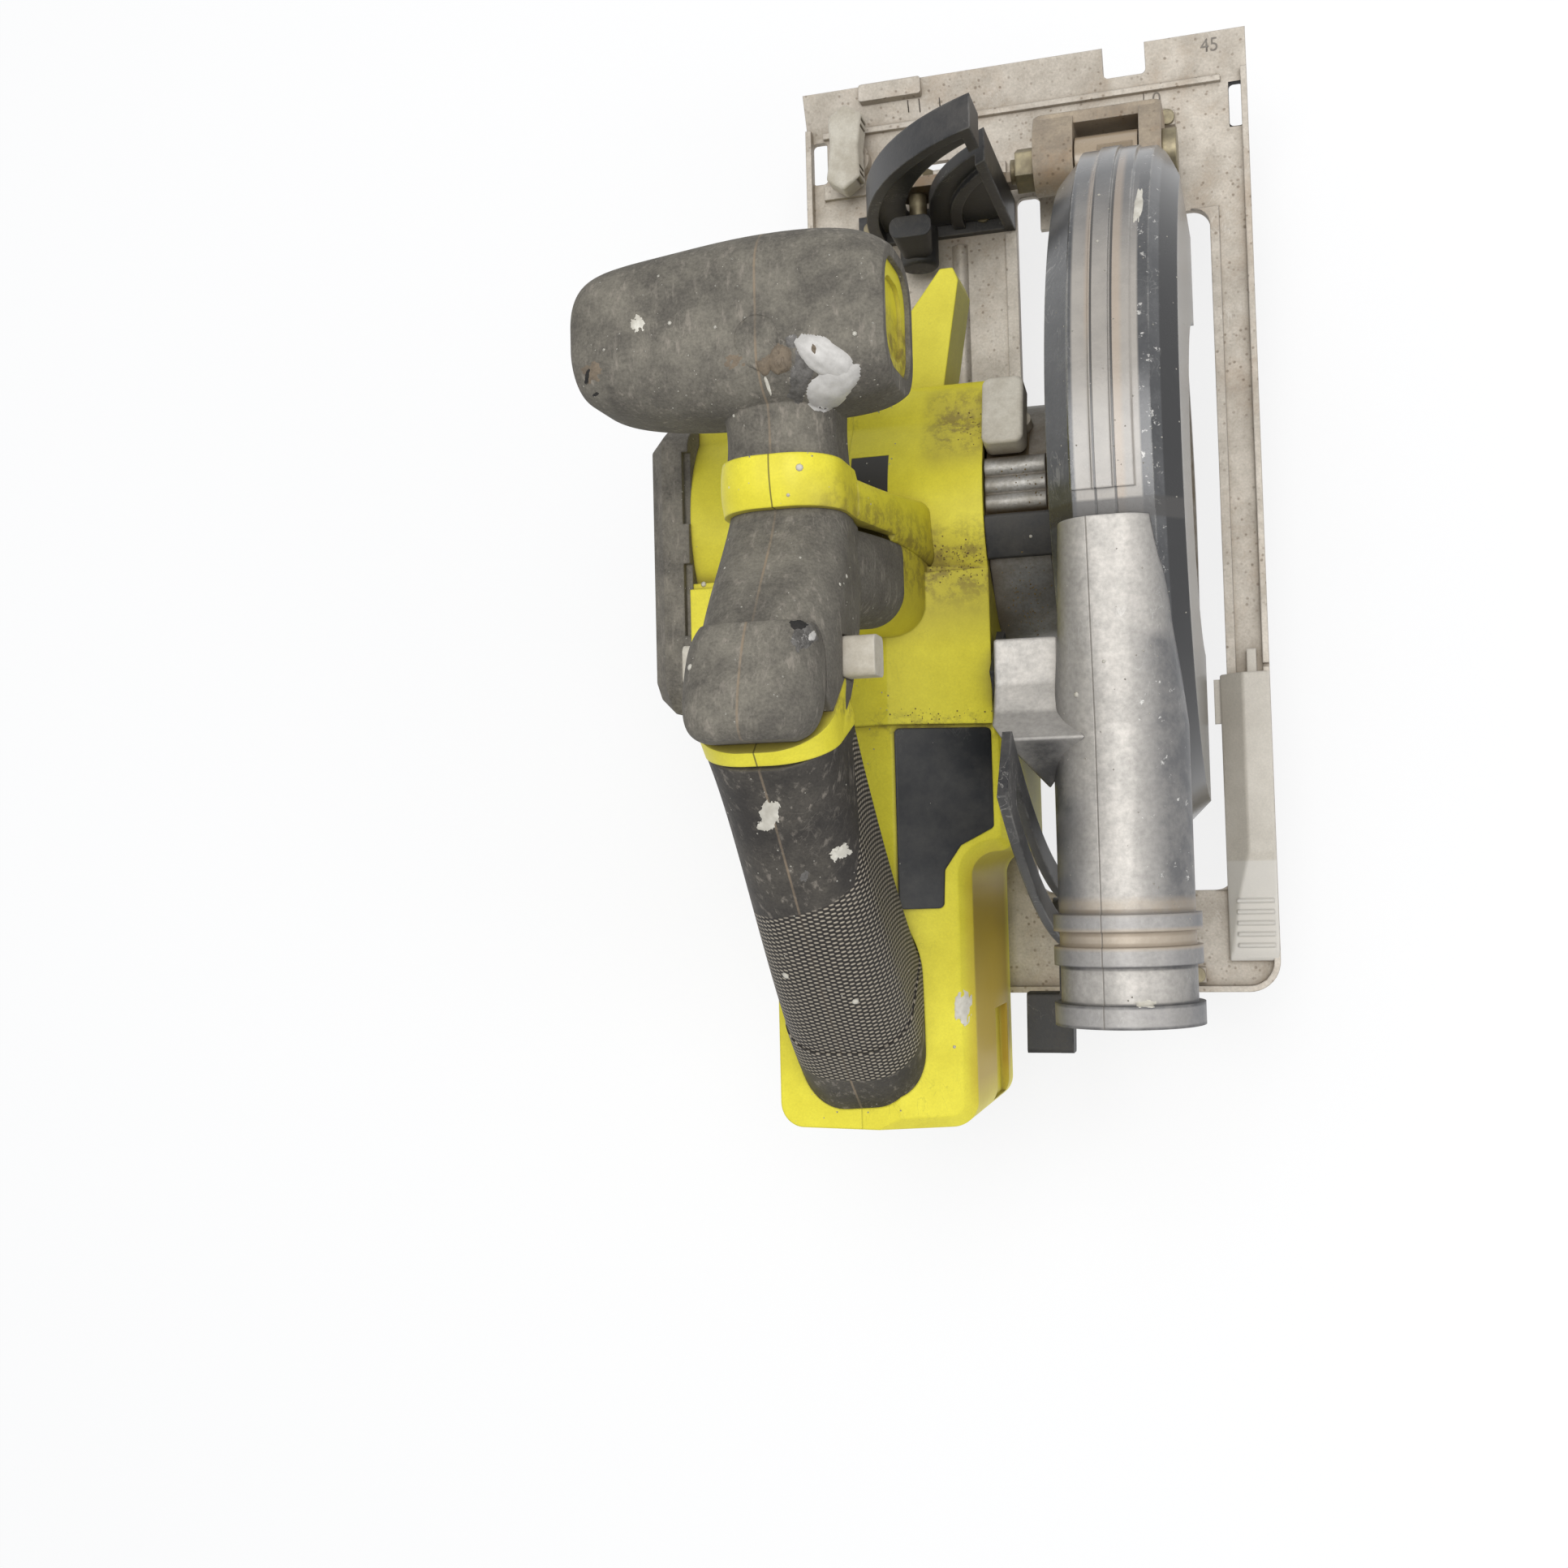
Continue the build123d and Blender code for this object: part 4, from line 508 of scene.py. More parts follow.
# %% Zone of the mesh
MESH_TOP, MESH_SLOPE, MESH_FADE = -0.0315, 0.0105, 0.0005
FLANK_TURN, FLANK_SLOPE = 0.4, 0.065
MESH_START = -0.068
FOOT_CURVE, FOOT_END = 0.006, 0.0365
STEP = 0.001
RIM_INNER, RIM_OUTER, RIM_FADE = 1.5, 1.56, 0.04
angle = add(t, "Math.ABSOLUTE", {0: turn})
flank = add(t, "Math.SUBTRACT", {0: turn, 1: FLANK_TURN})
flank = add(t, "Math.MAXIMUM", {0: flank, 1: 0.0})
line = add(t, "Math.MULTIPLY_ADD", {0: turn, 1: MESH_SLOPE, 2: along})
line = add(t, "Math.MULTIPLY_ADD", {0: flank, 1: FLANK_SLOPE, 2: line})
low = add(t, "MapRange", {0: line, 1: MESH_TOP - MESH_FADE, 2: MESH_TOP + MESH_FADE})
high = add(t, "MapRange", {0: along, 1: MESH_START, 2: MESH_START + STEP})
zone = add(t, "Math.MULTIPLY", {0: low, 1: high})
inside = add(t, "MapRange", {0: angle, 1: RIM_INNER, 2: RIM_INNER - RIM_FADE})
foot = add(t, "Math.MULTIPLY", {0: angle, 1: angle})
foot = add(t, "Math.MULTIPLY_ADD", {0: foot, 1: FOOT_CURVE, 2: along})
ending = add(t, "MapRange", {0: foot, 1: FOOT_END, 2: FOOT_END - STEP})
mark(grip, "#1F1C1A", zone, inside, ending, 0.8)
mark(grip, "#B5AB9A", cells, zone, inside, ending, 0.85, depth=-1.4)
rim = add(t, "MapRange", {0: angle, 1: RIM_INNER - RIM_FADE, 2: RIM_INNER})
rim_end = add(t, "MapRange", {0: angle, 1: RIM_OUTER, 2: RIM_OUTER - RIM_FADE})
mark(grip, "#77706A", rim, rim_end, high, ending, 0.7, depth=-1.0)
dress(grip, "main_grip grip_pad grip_end_cap")

# %% [markdown]
# ## Painted guard
# The hood over the blade is an alloy casting with dark metallic paint. Its flanks are still glossy and
# nearly black. The crown is pale grey, partly dust and partly a painted reflection that fades towards the
# front, and beside it runs a band that is chipped down to white primer. Each stripe is a band across the
# width of the hood, and a clear coat gives the paint its second, sharper shine.

# %% Guard paint
guard = worn_surface(
    "metallic_guard_paint", ("#38393B", "#454648"), tone_mm=16, grain_mm=1.0, grain=0.15, rough=0.26,
    specular=0.5, dust="#8F8B85", corners=0.3, lying=0.08, edge="#BFBCB6", edge_mm=0.7, rubbed=0.8,
    specks=0.8, scuff="#B5B2AC", scuffs=0.35)
guard["skin"].inputs["Coat Weight"].default_value = 0.4
guard["skin"].inputs["Coat Roughness"].default_value = 0.2
dull = patches(guard, 9, 0.3, 0.6, roughness=0.7, least=0.75)
flakes = patches(guard, 3.5, 0.6, 0.64, detail=8, roughness=0.75)
skyward = add(guard["tree"], "MapRange", {0: guard["up"], 1: 0.1, 2: 0.5})
print("guard paint mixed")

# %% Stripes of the guard
# The crown, pale with dust and a painted reflection, then a tan line of dirt beside its middle strip, then
# the two grooves of that strip.
mark(guard, "#A09A92", (X, -2.4, 8.2, 0.6), (Y, -112, 40, 36), skyward, dull)
mark(guard, "#B49E86", (X, 0.6, 0.6, 1.2), (Y, -85, 55, 10), 0.45)
mark(guard, "#B49E86", (X, -6.6, 0.4, 0.8), (Y, -60, 25, 15), 0.4)
for groove in (-5.85, -0.65):
    mark(guard, "#242322", (X, groove, 0.22, 0.15), (Y, -85, 58, 10), 0.9, depth=0.8)
# The chipped shoulder, the glossy black side above the flank, and the rubbed flank.
mark(guard, "#D2CFC9", (X, 8.9, 2.6, 0.6), (Y, -85, 60, 15), flakes, 0.85)
mark(guard, "#131315", (X, 13.8, 2.1, 0.4), 0.92)
mark(guard, "#7E7B77", (X, 17.6, 1.3, 0.3), dull, 0.8)
# The dark joint to the chute, and the tan dust on the front knuckle.
mark(guard, "#3A3836", (Y, -136.5, 2.2, 0.8), skyward, 0.85)
mark(guard, "#AD9A80", (Y, -1, 7, 5), (Z, 24, 12, 6), 0.85)
dress(guard, "upper_guard")

# %% [markdown]
# ## Grey chute
# The dust chute is a moulded silver grey plastic with a metal flake, so it shines like dull metal without
# being one: a quarter of metallic is enough. Its sides are painted darker as shade, most on the right and
# the lower left, the edges of its three rings carry painted shade, and fine tan dust stays between the rings.

# %% Flaked plastic
RINGS_MM = (-243.7, -252.5, -268)
RING_EDGE_MM = 2.9
chute = worn_surface(
    "metal_flake_grey_plastic", ("#A5A19B", "#C0BBB4"), tone_mm=9, grain_mm=1.4, grain=0.3, rough=0.45,
    metallic=0.25, specular=0.45, dust="#6E665B", corners=0.75, lying=0.06, edge="#D3D1CC", rubbed=0.7,
    specks=0.8, scuff="#D9D7D2", scuffs=0.5)
t = chute["tree"]
# Painted shade: faces that turn away from up are darkened, more so on the right side and the lower left.
shaded = add(t, "MapRange", {0: chute["up"], 1: 0.97, 2: 0.3, 4: 0.85})
blotch = add(t, "MapRange", {0: chute["clouds"], 1: 0.4, 2: 0.6, 3: 0.55, 4: 1.0})
mark(chute, "#4C4D50", shaded, blotch)
mark(chute, "#505154", (X, 15, 6, 9), (Y, -205, 34, 4), blotch, 0.8)
mark(chute, "#6A6B6D", (X, -20, 3, 7), (Y, -226, 14, 3), blotch, 0.7)
chips = patches(chute, 3.2, 0.64, 0.67, detail=6, roughness=0.7)
mark(chute, "#D6D4CF", (X, 9, 6, 1), (Y, -212, 30, 4), chips, 0.8)
# Each ring is tinted grey, and the dark lines at its two edges are painted shade.
for ring in RINGS_MM:
    mark(chute, "#77777A", (Y, ring, 2.6, 0.5), blotch, 0.5)
    for edge in (ring - RING_EDGE_MM, ring + RING_EDGE_MM):
        mark(chute, "#434345", (Y, edge, 0.35, 0.5), blotch, 0.85)
# The rear of the side block and the wall below it are painted dark as shade.
mark(chute, "#3C3C3E", (Y, -205, 8.5, 2.5), (X, -29, 9, 6), blotch, 0.85)
# Tan dust between the rings, and the seam of the mould.
mark(chute, "#B09F88", (Y, -248, 2.2, 1.0), 0.6)
mark(chute, "#B09F88", (Y, -239.5, 1.0, 2.0), blotch, 0.5)
mark(chute, "#6A655E", (X, -8.5, 0.14, 0.12), 0.7, depth=0.6)
dress(chute, "dust_chute")

# %% [markdown]
# ## Die cast alloy
# The gear case and the lower guard are bare aluminium castings, blasted to an even satin. The case is caked
# with brown sawdust in its corners.

# %% Die cast alloy
cast = worn_surface(
    "blasted_die_cast_aluminium", ("#9C9A96", "#87857F"), tone_mm=12, grain_mm=0.8, grain=0.35, rough=0.45,
    metallic=0.8, dust="#6B5B43", corners=0.95, lying=0.25, edge="#C2C0BB", edge_mm=0.6, rubbed=0.5,
    specks=0.4, scuff="#C6C3BD")
dress(cast, "gear_case gear_cover lower_guard")

# %% [markdown]
# ## Zinc coated steel
# The shoe is pressed from steel sheet with a thin zinc coat. It is pale warm grey with small dark pits, and
# tinted by rust where water stood. The rust is a noise, kept to a few patches. The front yoke has lost most
# of its coat, so it is browner and duller.

# %% Zinc coated shoe
DAMP_MM, PIT_MM = 26, 2.4


def zinc_finish(name, tones, rust_share, **more):
    """Zinc coated sheet steel with dark pits and patches of rust tint."""
    made = worn_surface(
        name, tones, tone_mm=14, grain_mm=0.8, metallic=0.35, dust="#8F806C", corners=0.55, edge="#D8D4CC",
        edge_mm=0.6, rubbed=0.5, scuff="#D9D5CD", specks=0.5, **more)
    t, at = made["tree"], made["at"]
    damp = add(t, "TexNoise", {"Vector": at, "Scale": per_mm(DAMP_MM), "Detail": 9, "Roughness": 0.75})
    rust = add(t, "MapRange", {0: damp, 1: 0.5, 2: 0.68, 4: rust_share})
    mark(made, "#9C8163", rust)
    pits = add(t, "TexVoronoi", {"Vector": at, "Scale": per_mm(PIT_MM)}).outputs["Distance"]
    pit = add(t, "MapRange", {0: pits, 1: 0.12, 2: 0.26, 3: 0.6, 4: 0.0})
    few = add(t, "MapRange", {0: damp, 1: 0.42, 2: 0.54})
    mark(made, "#6A5B4A", pit, few, depth=0.5)
    return made


shoe_zinc = zinc_finish("zinc_coated_sheet_steel", ("#C0B8AC", "#ACA498"), 0.3, lying=0.08, scuffs=0.4)
# The walls of the fence slot in the front lip are painted dark as the shade inside the slot.
mark(shoe_zinc, "#1C1B1A", (X, 30.5, 2.0, 0.1), (Y, 22, 7.6, 0.1))
dress(shoe_zinc, "shoe_plate hinge_lugs tilt_bracket")
yoke_steel = zinc_finish("rust_tinted_pressed_steel", ("#A89A86", "#94897B"), 0.7, rough=0.6, lying=0.3)
dress(yoke_steel, "front_yoke")

# %% [markdown]
# ## Black stove paint
# The bevel quadrant and the depth guide are steel pressings with baked black paint. It is tough and
# slightly glossy, and goes grey on edges and where a clamp slides, so both layers are strong here.

# %% Black stove paint
stove_paint = worn_surface(
    "worn_black_stove_paint", ("#222224", "#2F2F30"), tone_mm=14, grain_mm=0.8, grain=0.3, rough=0.42,
    specular=0.45, dust="#5E5A55", corners=0.15, lying=0.45, edge="#8A8782", edge_mm=0.9, rubbed=0.9,
    specks=0.9, scuff="#8D8A85", scuffs=0.8)
dress(stove_paint, "bevel_quadrant depth_guide")

# %% [markdown]
# ## Small mouldings
# The buttons and the fence knob are a warm beige acetal. The levers, the cover plate over the gear case and
# the trigger are plain black nylon. The rail cover is a warm grey plastic, and a thin black film covers the
# panel on the roof. All of them are smooth, so they differ in colour and shine more than in grain.

# %% Small mouldings
# Acetal looks waxy, and grime shows in its corners.
beige = worn_surface(
    "moulded_beige_acetal", ("#C9C3B5", "#B5AD9D"), tone_mm=10, grain_mm=0.6, grain=0.12, dust="#7F7260",
    corners=0.7, lying=0.1, edge="#DAD5C9", rubbed=0.4, specks=0.2, scuff="#8F8675")
dress(beige, "lock_off_button spindle_lock fence_knob")
# Black nylon is satin, with edges that turn grey.
nylon = worn_surface(
    "moulded_black_nylon", ("#1F1F1F", "#2B2A29"), tone_mm=12, grain_mm=0.6, grain=0.2, dust="#5B564E",
    corners=0.35, lying=0.25, edge="#7A7772", rubbed=0.5, specks=0.4, scuff="#6F6B65", scuffs=0.35)
dress(nylon, "bevel_lever gear_shroud guard_lever trigger switch_body depth_lever cooling_fan "
             "pommel_core brushes")
# The cover's ramp is paler.
rail_grey = worn_surface(
    "moulded_warm_grey_plastic", ("#D0C9BC", "#C5BEB1"), tone_mm=24, grain_mm=0.6, grain=0.15, rough=0.42,
    dust="#9A9082", corners=0.25, lying=0.05, edge="#D6D1C8", rubbed=0.8, specks=0.3, scuff="#C2BBAF")
mark(rail_grey, "#DAD6CE", (Y, -246, 17, 0.6), 0.7)
dress(rail_grey, "rail_cover")
# Film is smoother than any moulding, so it mirrors a little.
film = worn_surface(
    "satin_black_film", ("#15171A", "#1E2023"), tone_mm=18, grain=0.06, rough=0.34, specular=0.45,
    dust="#6C6557", lying=0.15, edge="#55534F", rubbed=0.4, specks=0.5, scuff="#5B5A57", scuffs=0.4)
dress(film, "blank_plate")

# %% [markdown]
# ## Turned and ground steel
# Bolts, pins and shafts are zinc plated steel with a faint yellow cast. The blade is ground, which leaves
# fine rings around its centre, drawn here from the distance to the arbor. The commutator and the terminals
# inside are copper, and the lamp's lens is clear polished plastic.

# %% Plated steel
plated = worn_surface(
    "yellow_zinc_plated_steel", ("#938A70", "#7D7666"), tone_mm=8, grain=0.15, rough=0.4, metallic=0.85,
    dust="#655840", corners=0.8, lying=0.3, edge="#C9C2AC", rubbed=0.5, scuff="#B9B3A2")
dress(plated, "hinge_pins shoe_rivets fence_screw bevel_stud depth_bolt guard_spring drive_gear "
              "pinion_shaft armature motor_can bearings spindle inner_flange outer_flange blade_bolt "
              "case_screws depth_clamp_bolt")

# %% Blade, copper and lens
ARBOR = Vector((0, -0.113, 0.032))
# Real grinding marks are finer; these are drawn coarser so that they show in the render.
GRINDING_MM = 0.5
ground = worn_surface(
    "ground_blade_steel", ("#B9B8B5", "#A6A5A1"), tone_mm=40, grain_mm=0.6, grain=0.08, rough=0.28,
    metallic=1.0, dust="#7A6A52", corners=0.3, lying=0.0, edge="#E0DEDA", rubbed=0.4, specks=0.1,
    scuff="#D8D6D2")
t = ground["tree"]
radial = add(t, "VectorMath.DISTANCE", {0: ground["at"], 1: ARBOR}).outputs["Value"]
rings = add(t, "TexNoise", {"W": radial, "Scale": per_mm(GRINDING_MM), "Detail": 4}, noise_dimensions="1D")
mark(ground, "#8F8E8A", add(t, "MapRange", {0: rings, 1: 0.45, 2: 0.7, 4: 0.5}))
dress(ground, "saw_blade")
# Drawn copper is warm and keeps a soft mirror.
copper = worn_surface(
    "drawn_copper", ("#B87A4B", "#9C6440"), tone_mm=9, grain=0.1, rough=0.35, metallic=1.0, dust="#5A4A38",
    lying=0.1, edge="#DDB089", scuff="#DDB089", scuffs=0.2)
dress(copper, "commutator battery_terminals")
# The lens is small and dusty, so a pale glossy skin stands for its clear plastic.
clear = worn_surface(
    "polished_lens_polycarbonate", ("#D3D8DC", "#C4CACF"), tone_mm=8, grain=0.04, rough=0.12,
    dust="#9A9384", corners=0.4, lying=0.1, edge="#EEF0F2", rubbed=0.2, specks=0.1, scuff="#F0F0F0",
    scuffs=0.2)
dress(clear, "light_lens")

# %% [markdown]
# ## Things that lie on the surface
# Dried paint, filler and sawdust stand on the saw as small solid things. Their places are known from the
# photograph, so each one is found by looking from the camera: a ray through a place in the picture is
# followed until it meets the piece that carries it, and a tree of that piece's faces makes this quick. The
# thing is built there, along the surface's normal, and rides on the same body.

# %% Looking from the camera
looked_at = bpy.context.evaluated_depsgraph_get()
surfaces = {name: BVHTree.FromObject(thing, looked_at) for name, thing in nodes.items()}


def met(names, px, py):
    """The point and normal that the camera meets first on named nodes, at a place in the picture's pixels."""
    ray = (RIGHT * (px - PICTURE / 2) + UP * (PICTURE / 2 - py) - BACK * FOCAL_PIXELS).normalized()
    hits = [surfaces[name].ray_cast(EYE, ray) for name in names.split()]
    hits = [hit for hit in hits if hit[0] is not None]
    nearest = min(hits, key=lambda hit: hit[3], default=None)
    return nearest and nearest[:2]


def settle(bm, name, finish, body, smooth=True):
    """Turn a bmesh into a piece that rides on a body."""
    mesh = bpy.data.meshes.new(name)
    bm.to_mesh(mesh)
    bm.free()
    if smooth:
        mesh.shade_smooth()
    mesh.materials.append(finish["material"])
    piece = bpy.data.objects.new(name, mesh)
    link(piece)
    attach(piece, body)
    print(name, "has", len(mesh.polygons), "faces")
    return piece


print(len(surfaces), "surfaces to look at")

# %% [markdown]
# ## Two mouldings with slanted faces
# The chute has a block on its side that rises to a sharp cross ridge, and the right rail carries a cover
# with a ribbed ramp. Both start as a side view that is extruded across the saw. Planes then cut off what
# stands beyond them, which keeps every face flat, as moving single corners would not, and a small bevel
# rounds all edges.

# %% Extrude, cut and round
def extrude_across(bm, outline, left, right):
    """Extrude a side view, a list of (y, z) in millimetres, from one x to another."""
    corners = [bm.verts.new((left / 1000, y / 1000, z / 1000)) for y, z in outline]
    grown = bmesh.ops.extrude_face_region(bm, geom=[bm.faces.new(corners)])
    moved = [g for g in grown["geom"] if isinstance(g, bmesh.types.BMVert)]
    bmesh.ops.translate(bm, verts=moved, vec=((right - left) / 1000, 0, 0))


def cut_beyond(bm, point, outward):
    """Take off what stands beyond a plane through a point in millimetres, and close the cut."""
    everything = bm.verts[:] + bm.edges[:] + bm.faces[:]
    bmesh.ops.bisect_plane(bm, geom=everything, plane_co=Vector(point) / 1000,
                           plane_no=Vector(outward).normalized(), clear_outer=True)
    bmesh.ops.holes_fill(bm, edges=bm.edges[:], sides=0)


def round_edges(bm, radius_mm):
    """Round every edge of a closed shape."""
    bmesh.ops.recalc_face_normals(bm, faces=bm.faces[:])
    bmesh.ops.bevel(bm, geom=bm.edges[:], offset=radius_mm / 1000, segments=3, profile=0.5, affect="EDGES",
                    material=-1)


print("extrude, cut and round")

# %% Block on the side of the chute
# Sizes are in millimetres, here and in the next two cells.
ELBOW_SIDE = ((-166.6, 100.7), (-166.6, 118.4), (-179, 118.7), (-187, 121.5),
              (-195, 130), (-213, 106), (-207, 100.7))
ELBOW_LEFT, ELBOW_RIGHT = -36.4, -3.5
ELBOW_ROUND = 0.7
# The left end of the block is cut on a slant that starts at this y.
SLANT_START, SLANT_OUTWARD = -190.5, (-22.5, -17.9, 0)
CHUTE_X, CHUTE_Z, CHUTE_WALL = -3.5, 113.0, 15.7
SADDLE = math.radians(145)
bm = bmesh.new()
extrude_across(bm, ELBOW_SIDE, ELBOW_LEFT, ELBOW_RIGHT)
cut_beyond(bm, (ELBOW_LEFT, SLANT_START, 0), SLANT_OUTWARD)
# The block ends on a plane that touches the wall of the round duct.
saddle = Vector((math.cos(SADDLE), 0, math.sin(SADDLE)))
cut_beyond(bm, Vector((CHUTE_X, 0, CHUTE_Z)) + saddle * CHUTE_WALL, -saddle)
round_edges(bm, ELBOW_ROUND)
settle(bm, "chute_elbow", chute, "saw_head", smooth=False)

# %% Body of the cover on the right rail
COVER_SIDE = ((-168, 4.3), (-168, 12.4), (-226, 12.4), (-240, 9.4), (-258, 7.0), (-261, 5.6), (-261, 4.3))
COVER_LEFT, COVER_RIGHT = 18.8, 34.4
COVER_ROUND = 0.6
bm = bmesh.new()
extrude_across(bm, COVER_SIDE, COVER_LEFT, COVER_RIGHT)
cut_beyond(bm, (COVER_LEFT, 0, 6), (-6.4, 0, 7.2))
# The rim of the shoe runs under the right side of the cover.
cut_beyond(bm, (COVER_RIGHT, 0, 6.1), (1.9, 0, -2.0))
round_edges(bm, COVER_ROUND)
print("cover body has", len(bm.faces), "faces")

# %% Foot, clips and ribs of the cover
# Left, right, rear, front, low and high of the foot on the rail, the front tongue and the side clip.
COVER_BLOCKS = ((24.4, 32.3, -260, -168.3, 2.55, 6.0), (27.5, 30.5, -169, -160, 2.55, 6.5),
                (16.8, 19.5, -184, -169.5, 4.3, 5.5))
for left, right, rear, front, low, high in COVER_BLOCKS:
    middle = Vector((left + right, rear + front, low + high)) / 2000
    size = Matrix.Diagonal(((right - left) / 1000, (front - rear) / 1000, (high - low) / 1000, 1))
    bmesh.ops.create_cube(bm, size=1.0, matrix=Matrix.Translation(middle) @ size)
RIB_COUNT, RIB_FIRST, RIB_STEP, RIB_X, RIB_PROUD = 5, -241.5, 3.6, 27.5, 0.1
RIB_RADIUS, RIB_LENGTH = 0.7, 11.5
(ramp_y, ramp_z), (ramp_end_y, ramp_end_z) = COVER_SIDE[3:5]
slope = (ramp_z - ramp_end_z) / (ramp_y - ramp_end_y)
across = Matrix.Rotation(math.pi / 2, 4, "Y")
for i in range(RIB_COUNT):
    y = RIB_FIRST - RIB_STEP * i
    lift = ramp_z + (y - ramp_y) * slope + RIB_PROUD
    place = Matrix.Translation(Vector((RIB_X, y, lift)) / 1000)
    radius = RIB_RADIUS / 1000
    bmesh.ops.create_cone(bm, cap_ends=True, segments=10, radius1=radius, radius2=radius,
                          depth=RIB_LENGTH / 1000, matrix=place @ across)
cover = settle(bm, "rail_moulding", rail_grey, "shoe", smooth=False)
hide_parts("rail_cover")

# %% [markdown]
# ## Smears
# A smear of filler or paint is a square grid held in front of the picture. Each corner is dropped on to the
# surface behind it, then lifted along the normal, most in the middle and less towards an edge that a noise
# makes ragged. Corners beyond the edge are removed, and the edge dips under the surface.

# %% One smear
SMEAR_CELLS, SMEAR_REACH = 30, 1.25
EDGE_BEYOND, EDGE_DIP = -0.12, 0.00008
LONGEST_EDGE = 0.004


def wobble(u, w, scale, seed):
    """A smooth random value at a place on a smear."""
    return noise.noise(Vector((scale * u, scale * w, seed)))


def smear(name, carriers, centre, half, tilt, tall_mm, ragged, finish, seed):
    """A ragged smear round a place in the picture; its half size is in pixels, and its tilt in degrees."""
    bm = bmesh.new()
    bmesh.ops.create_grid(bm, x_segments=SMEAR_CELLS, y_segments=SMEAR_CELLS, size=SMEAR_REACH)
    c, s = math.cos(math.radians(tilt)), math.sin(math.radians(tilt))
    beyond = []
    for v in bm.verts:
        u, w = v.co.x, v.co.y
        inside = 1 - math.hypot(u, w) + ragged * (wobble(u, w, 1.7, seed) + 0.5 * wobble(u, w, 5, seed))
        across, down = half[0] * u, half[1] * w
        spot = met(carriers, centre[0] + c * across - s * down, centre[1] + s * across + c * down)
        if spot is None or inside < EDGE_BEYOND:
            beyond.append(v)
            continue
        lumps = 0.85 + (0.2 + 0.4 * ragged) * wobble(u, w, 2.5, seed + 7)
        dome = math.sqrt(min(1.0, 1.6 * inside)) if inside > 0 else 0.0
        v.co = spot[0] + spot[1] * (dome * lumps * tall_mm / 1000 - EDGE_DIP)
    bmesh.ops.delete(bm, geom=beyond, context="VERTS")
    # A face with a long edge hangs between two surfaces at different depths.
    stray = [f for f in bm.faces if max(e.calc_length() for e in f.edges) > LONGEST_EDGE]
    bmesh.ops.delete(bm, geom=stray, context="FACES")
    bm.normal_update()
    wrong = [f for f in bm.faces if f.normal.dot(EYE - f.calc_center_median()) < 0]
    bmesh.ops.reverse_faces(bm, faces=wrong)
    settle(bm, name, finish, "saw_head")


print("a smear has up to", SMEAR_CELLS ** 2, "faces")

# %% [markdown]
# ### What the smears are made of
# White filler dries smooth and pale, and the brown plug is the same stuff with dirt worked in. Wall paint
# dries in thin warm white skins. A tear in the rubber shows its dark inside, with grey putty rubbed over
# it. All five are small, so their tones drift over a few millimetres.

# %% Filler, paint and grime
filler = worn_surface(
    "dried_white_filler", ("#C2BFBA", "#AFACA7"), tone_mm=9, grain_mm=0.9, grain=0.12, rough=0.4,
    dust="#9A958D", corners=0.35, lying=0.06, edge="#EDEBE7", rubbed=0.2, scuff="#A9A59E")
plug_filler = worn_surface(
    "brown_filler_plug", ("#796C5B", "#62584B"), tone_mm=4, grain_mm=0.6, grain=0.3, rough=0.75,
    dust="#84786A", edge="#8F7F6A", specks=0.1, scuff="#4A3F33", scuffs=0.6)
paint = worn_surface(
    "dried_wall_paint", ("#D6D2C6", "#BDB8AB"), tone_mm=4, grain=0.2, dust="#8A8274", corners=0.3,
    edge="#E6E3DA", scuff="#857F73", scuffs=0.5)
putty = worn_surface(
    "torn_rubber_with_putty", ("#6B6864", "#403E3B"), tone_mm=3, grain=0.4, dust="#5F5A53", edge="#C9C6C1",
    rubbed=0.6, scuff="#C9C6C1", scuffs=0.6)
grime = worn_surface(
    "grime_in_a_tear", ("#1B1A19", "#2A2826"), tone_mm=3, grain=0.4, rough=0.85, dust="#4C463E",
    corners=0.3, lying=0.1, edge="#3A3835", scuff="#55504A")
print("five materials for smears")

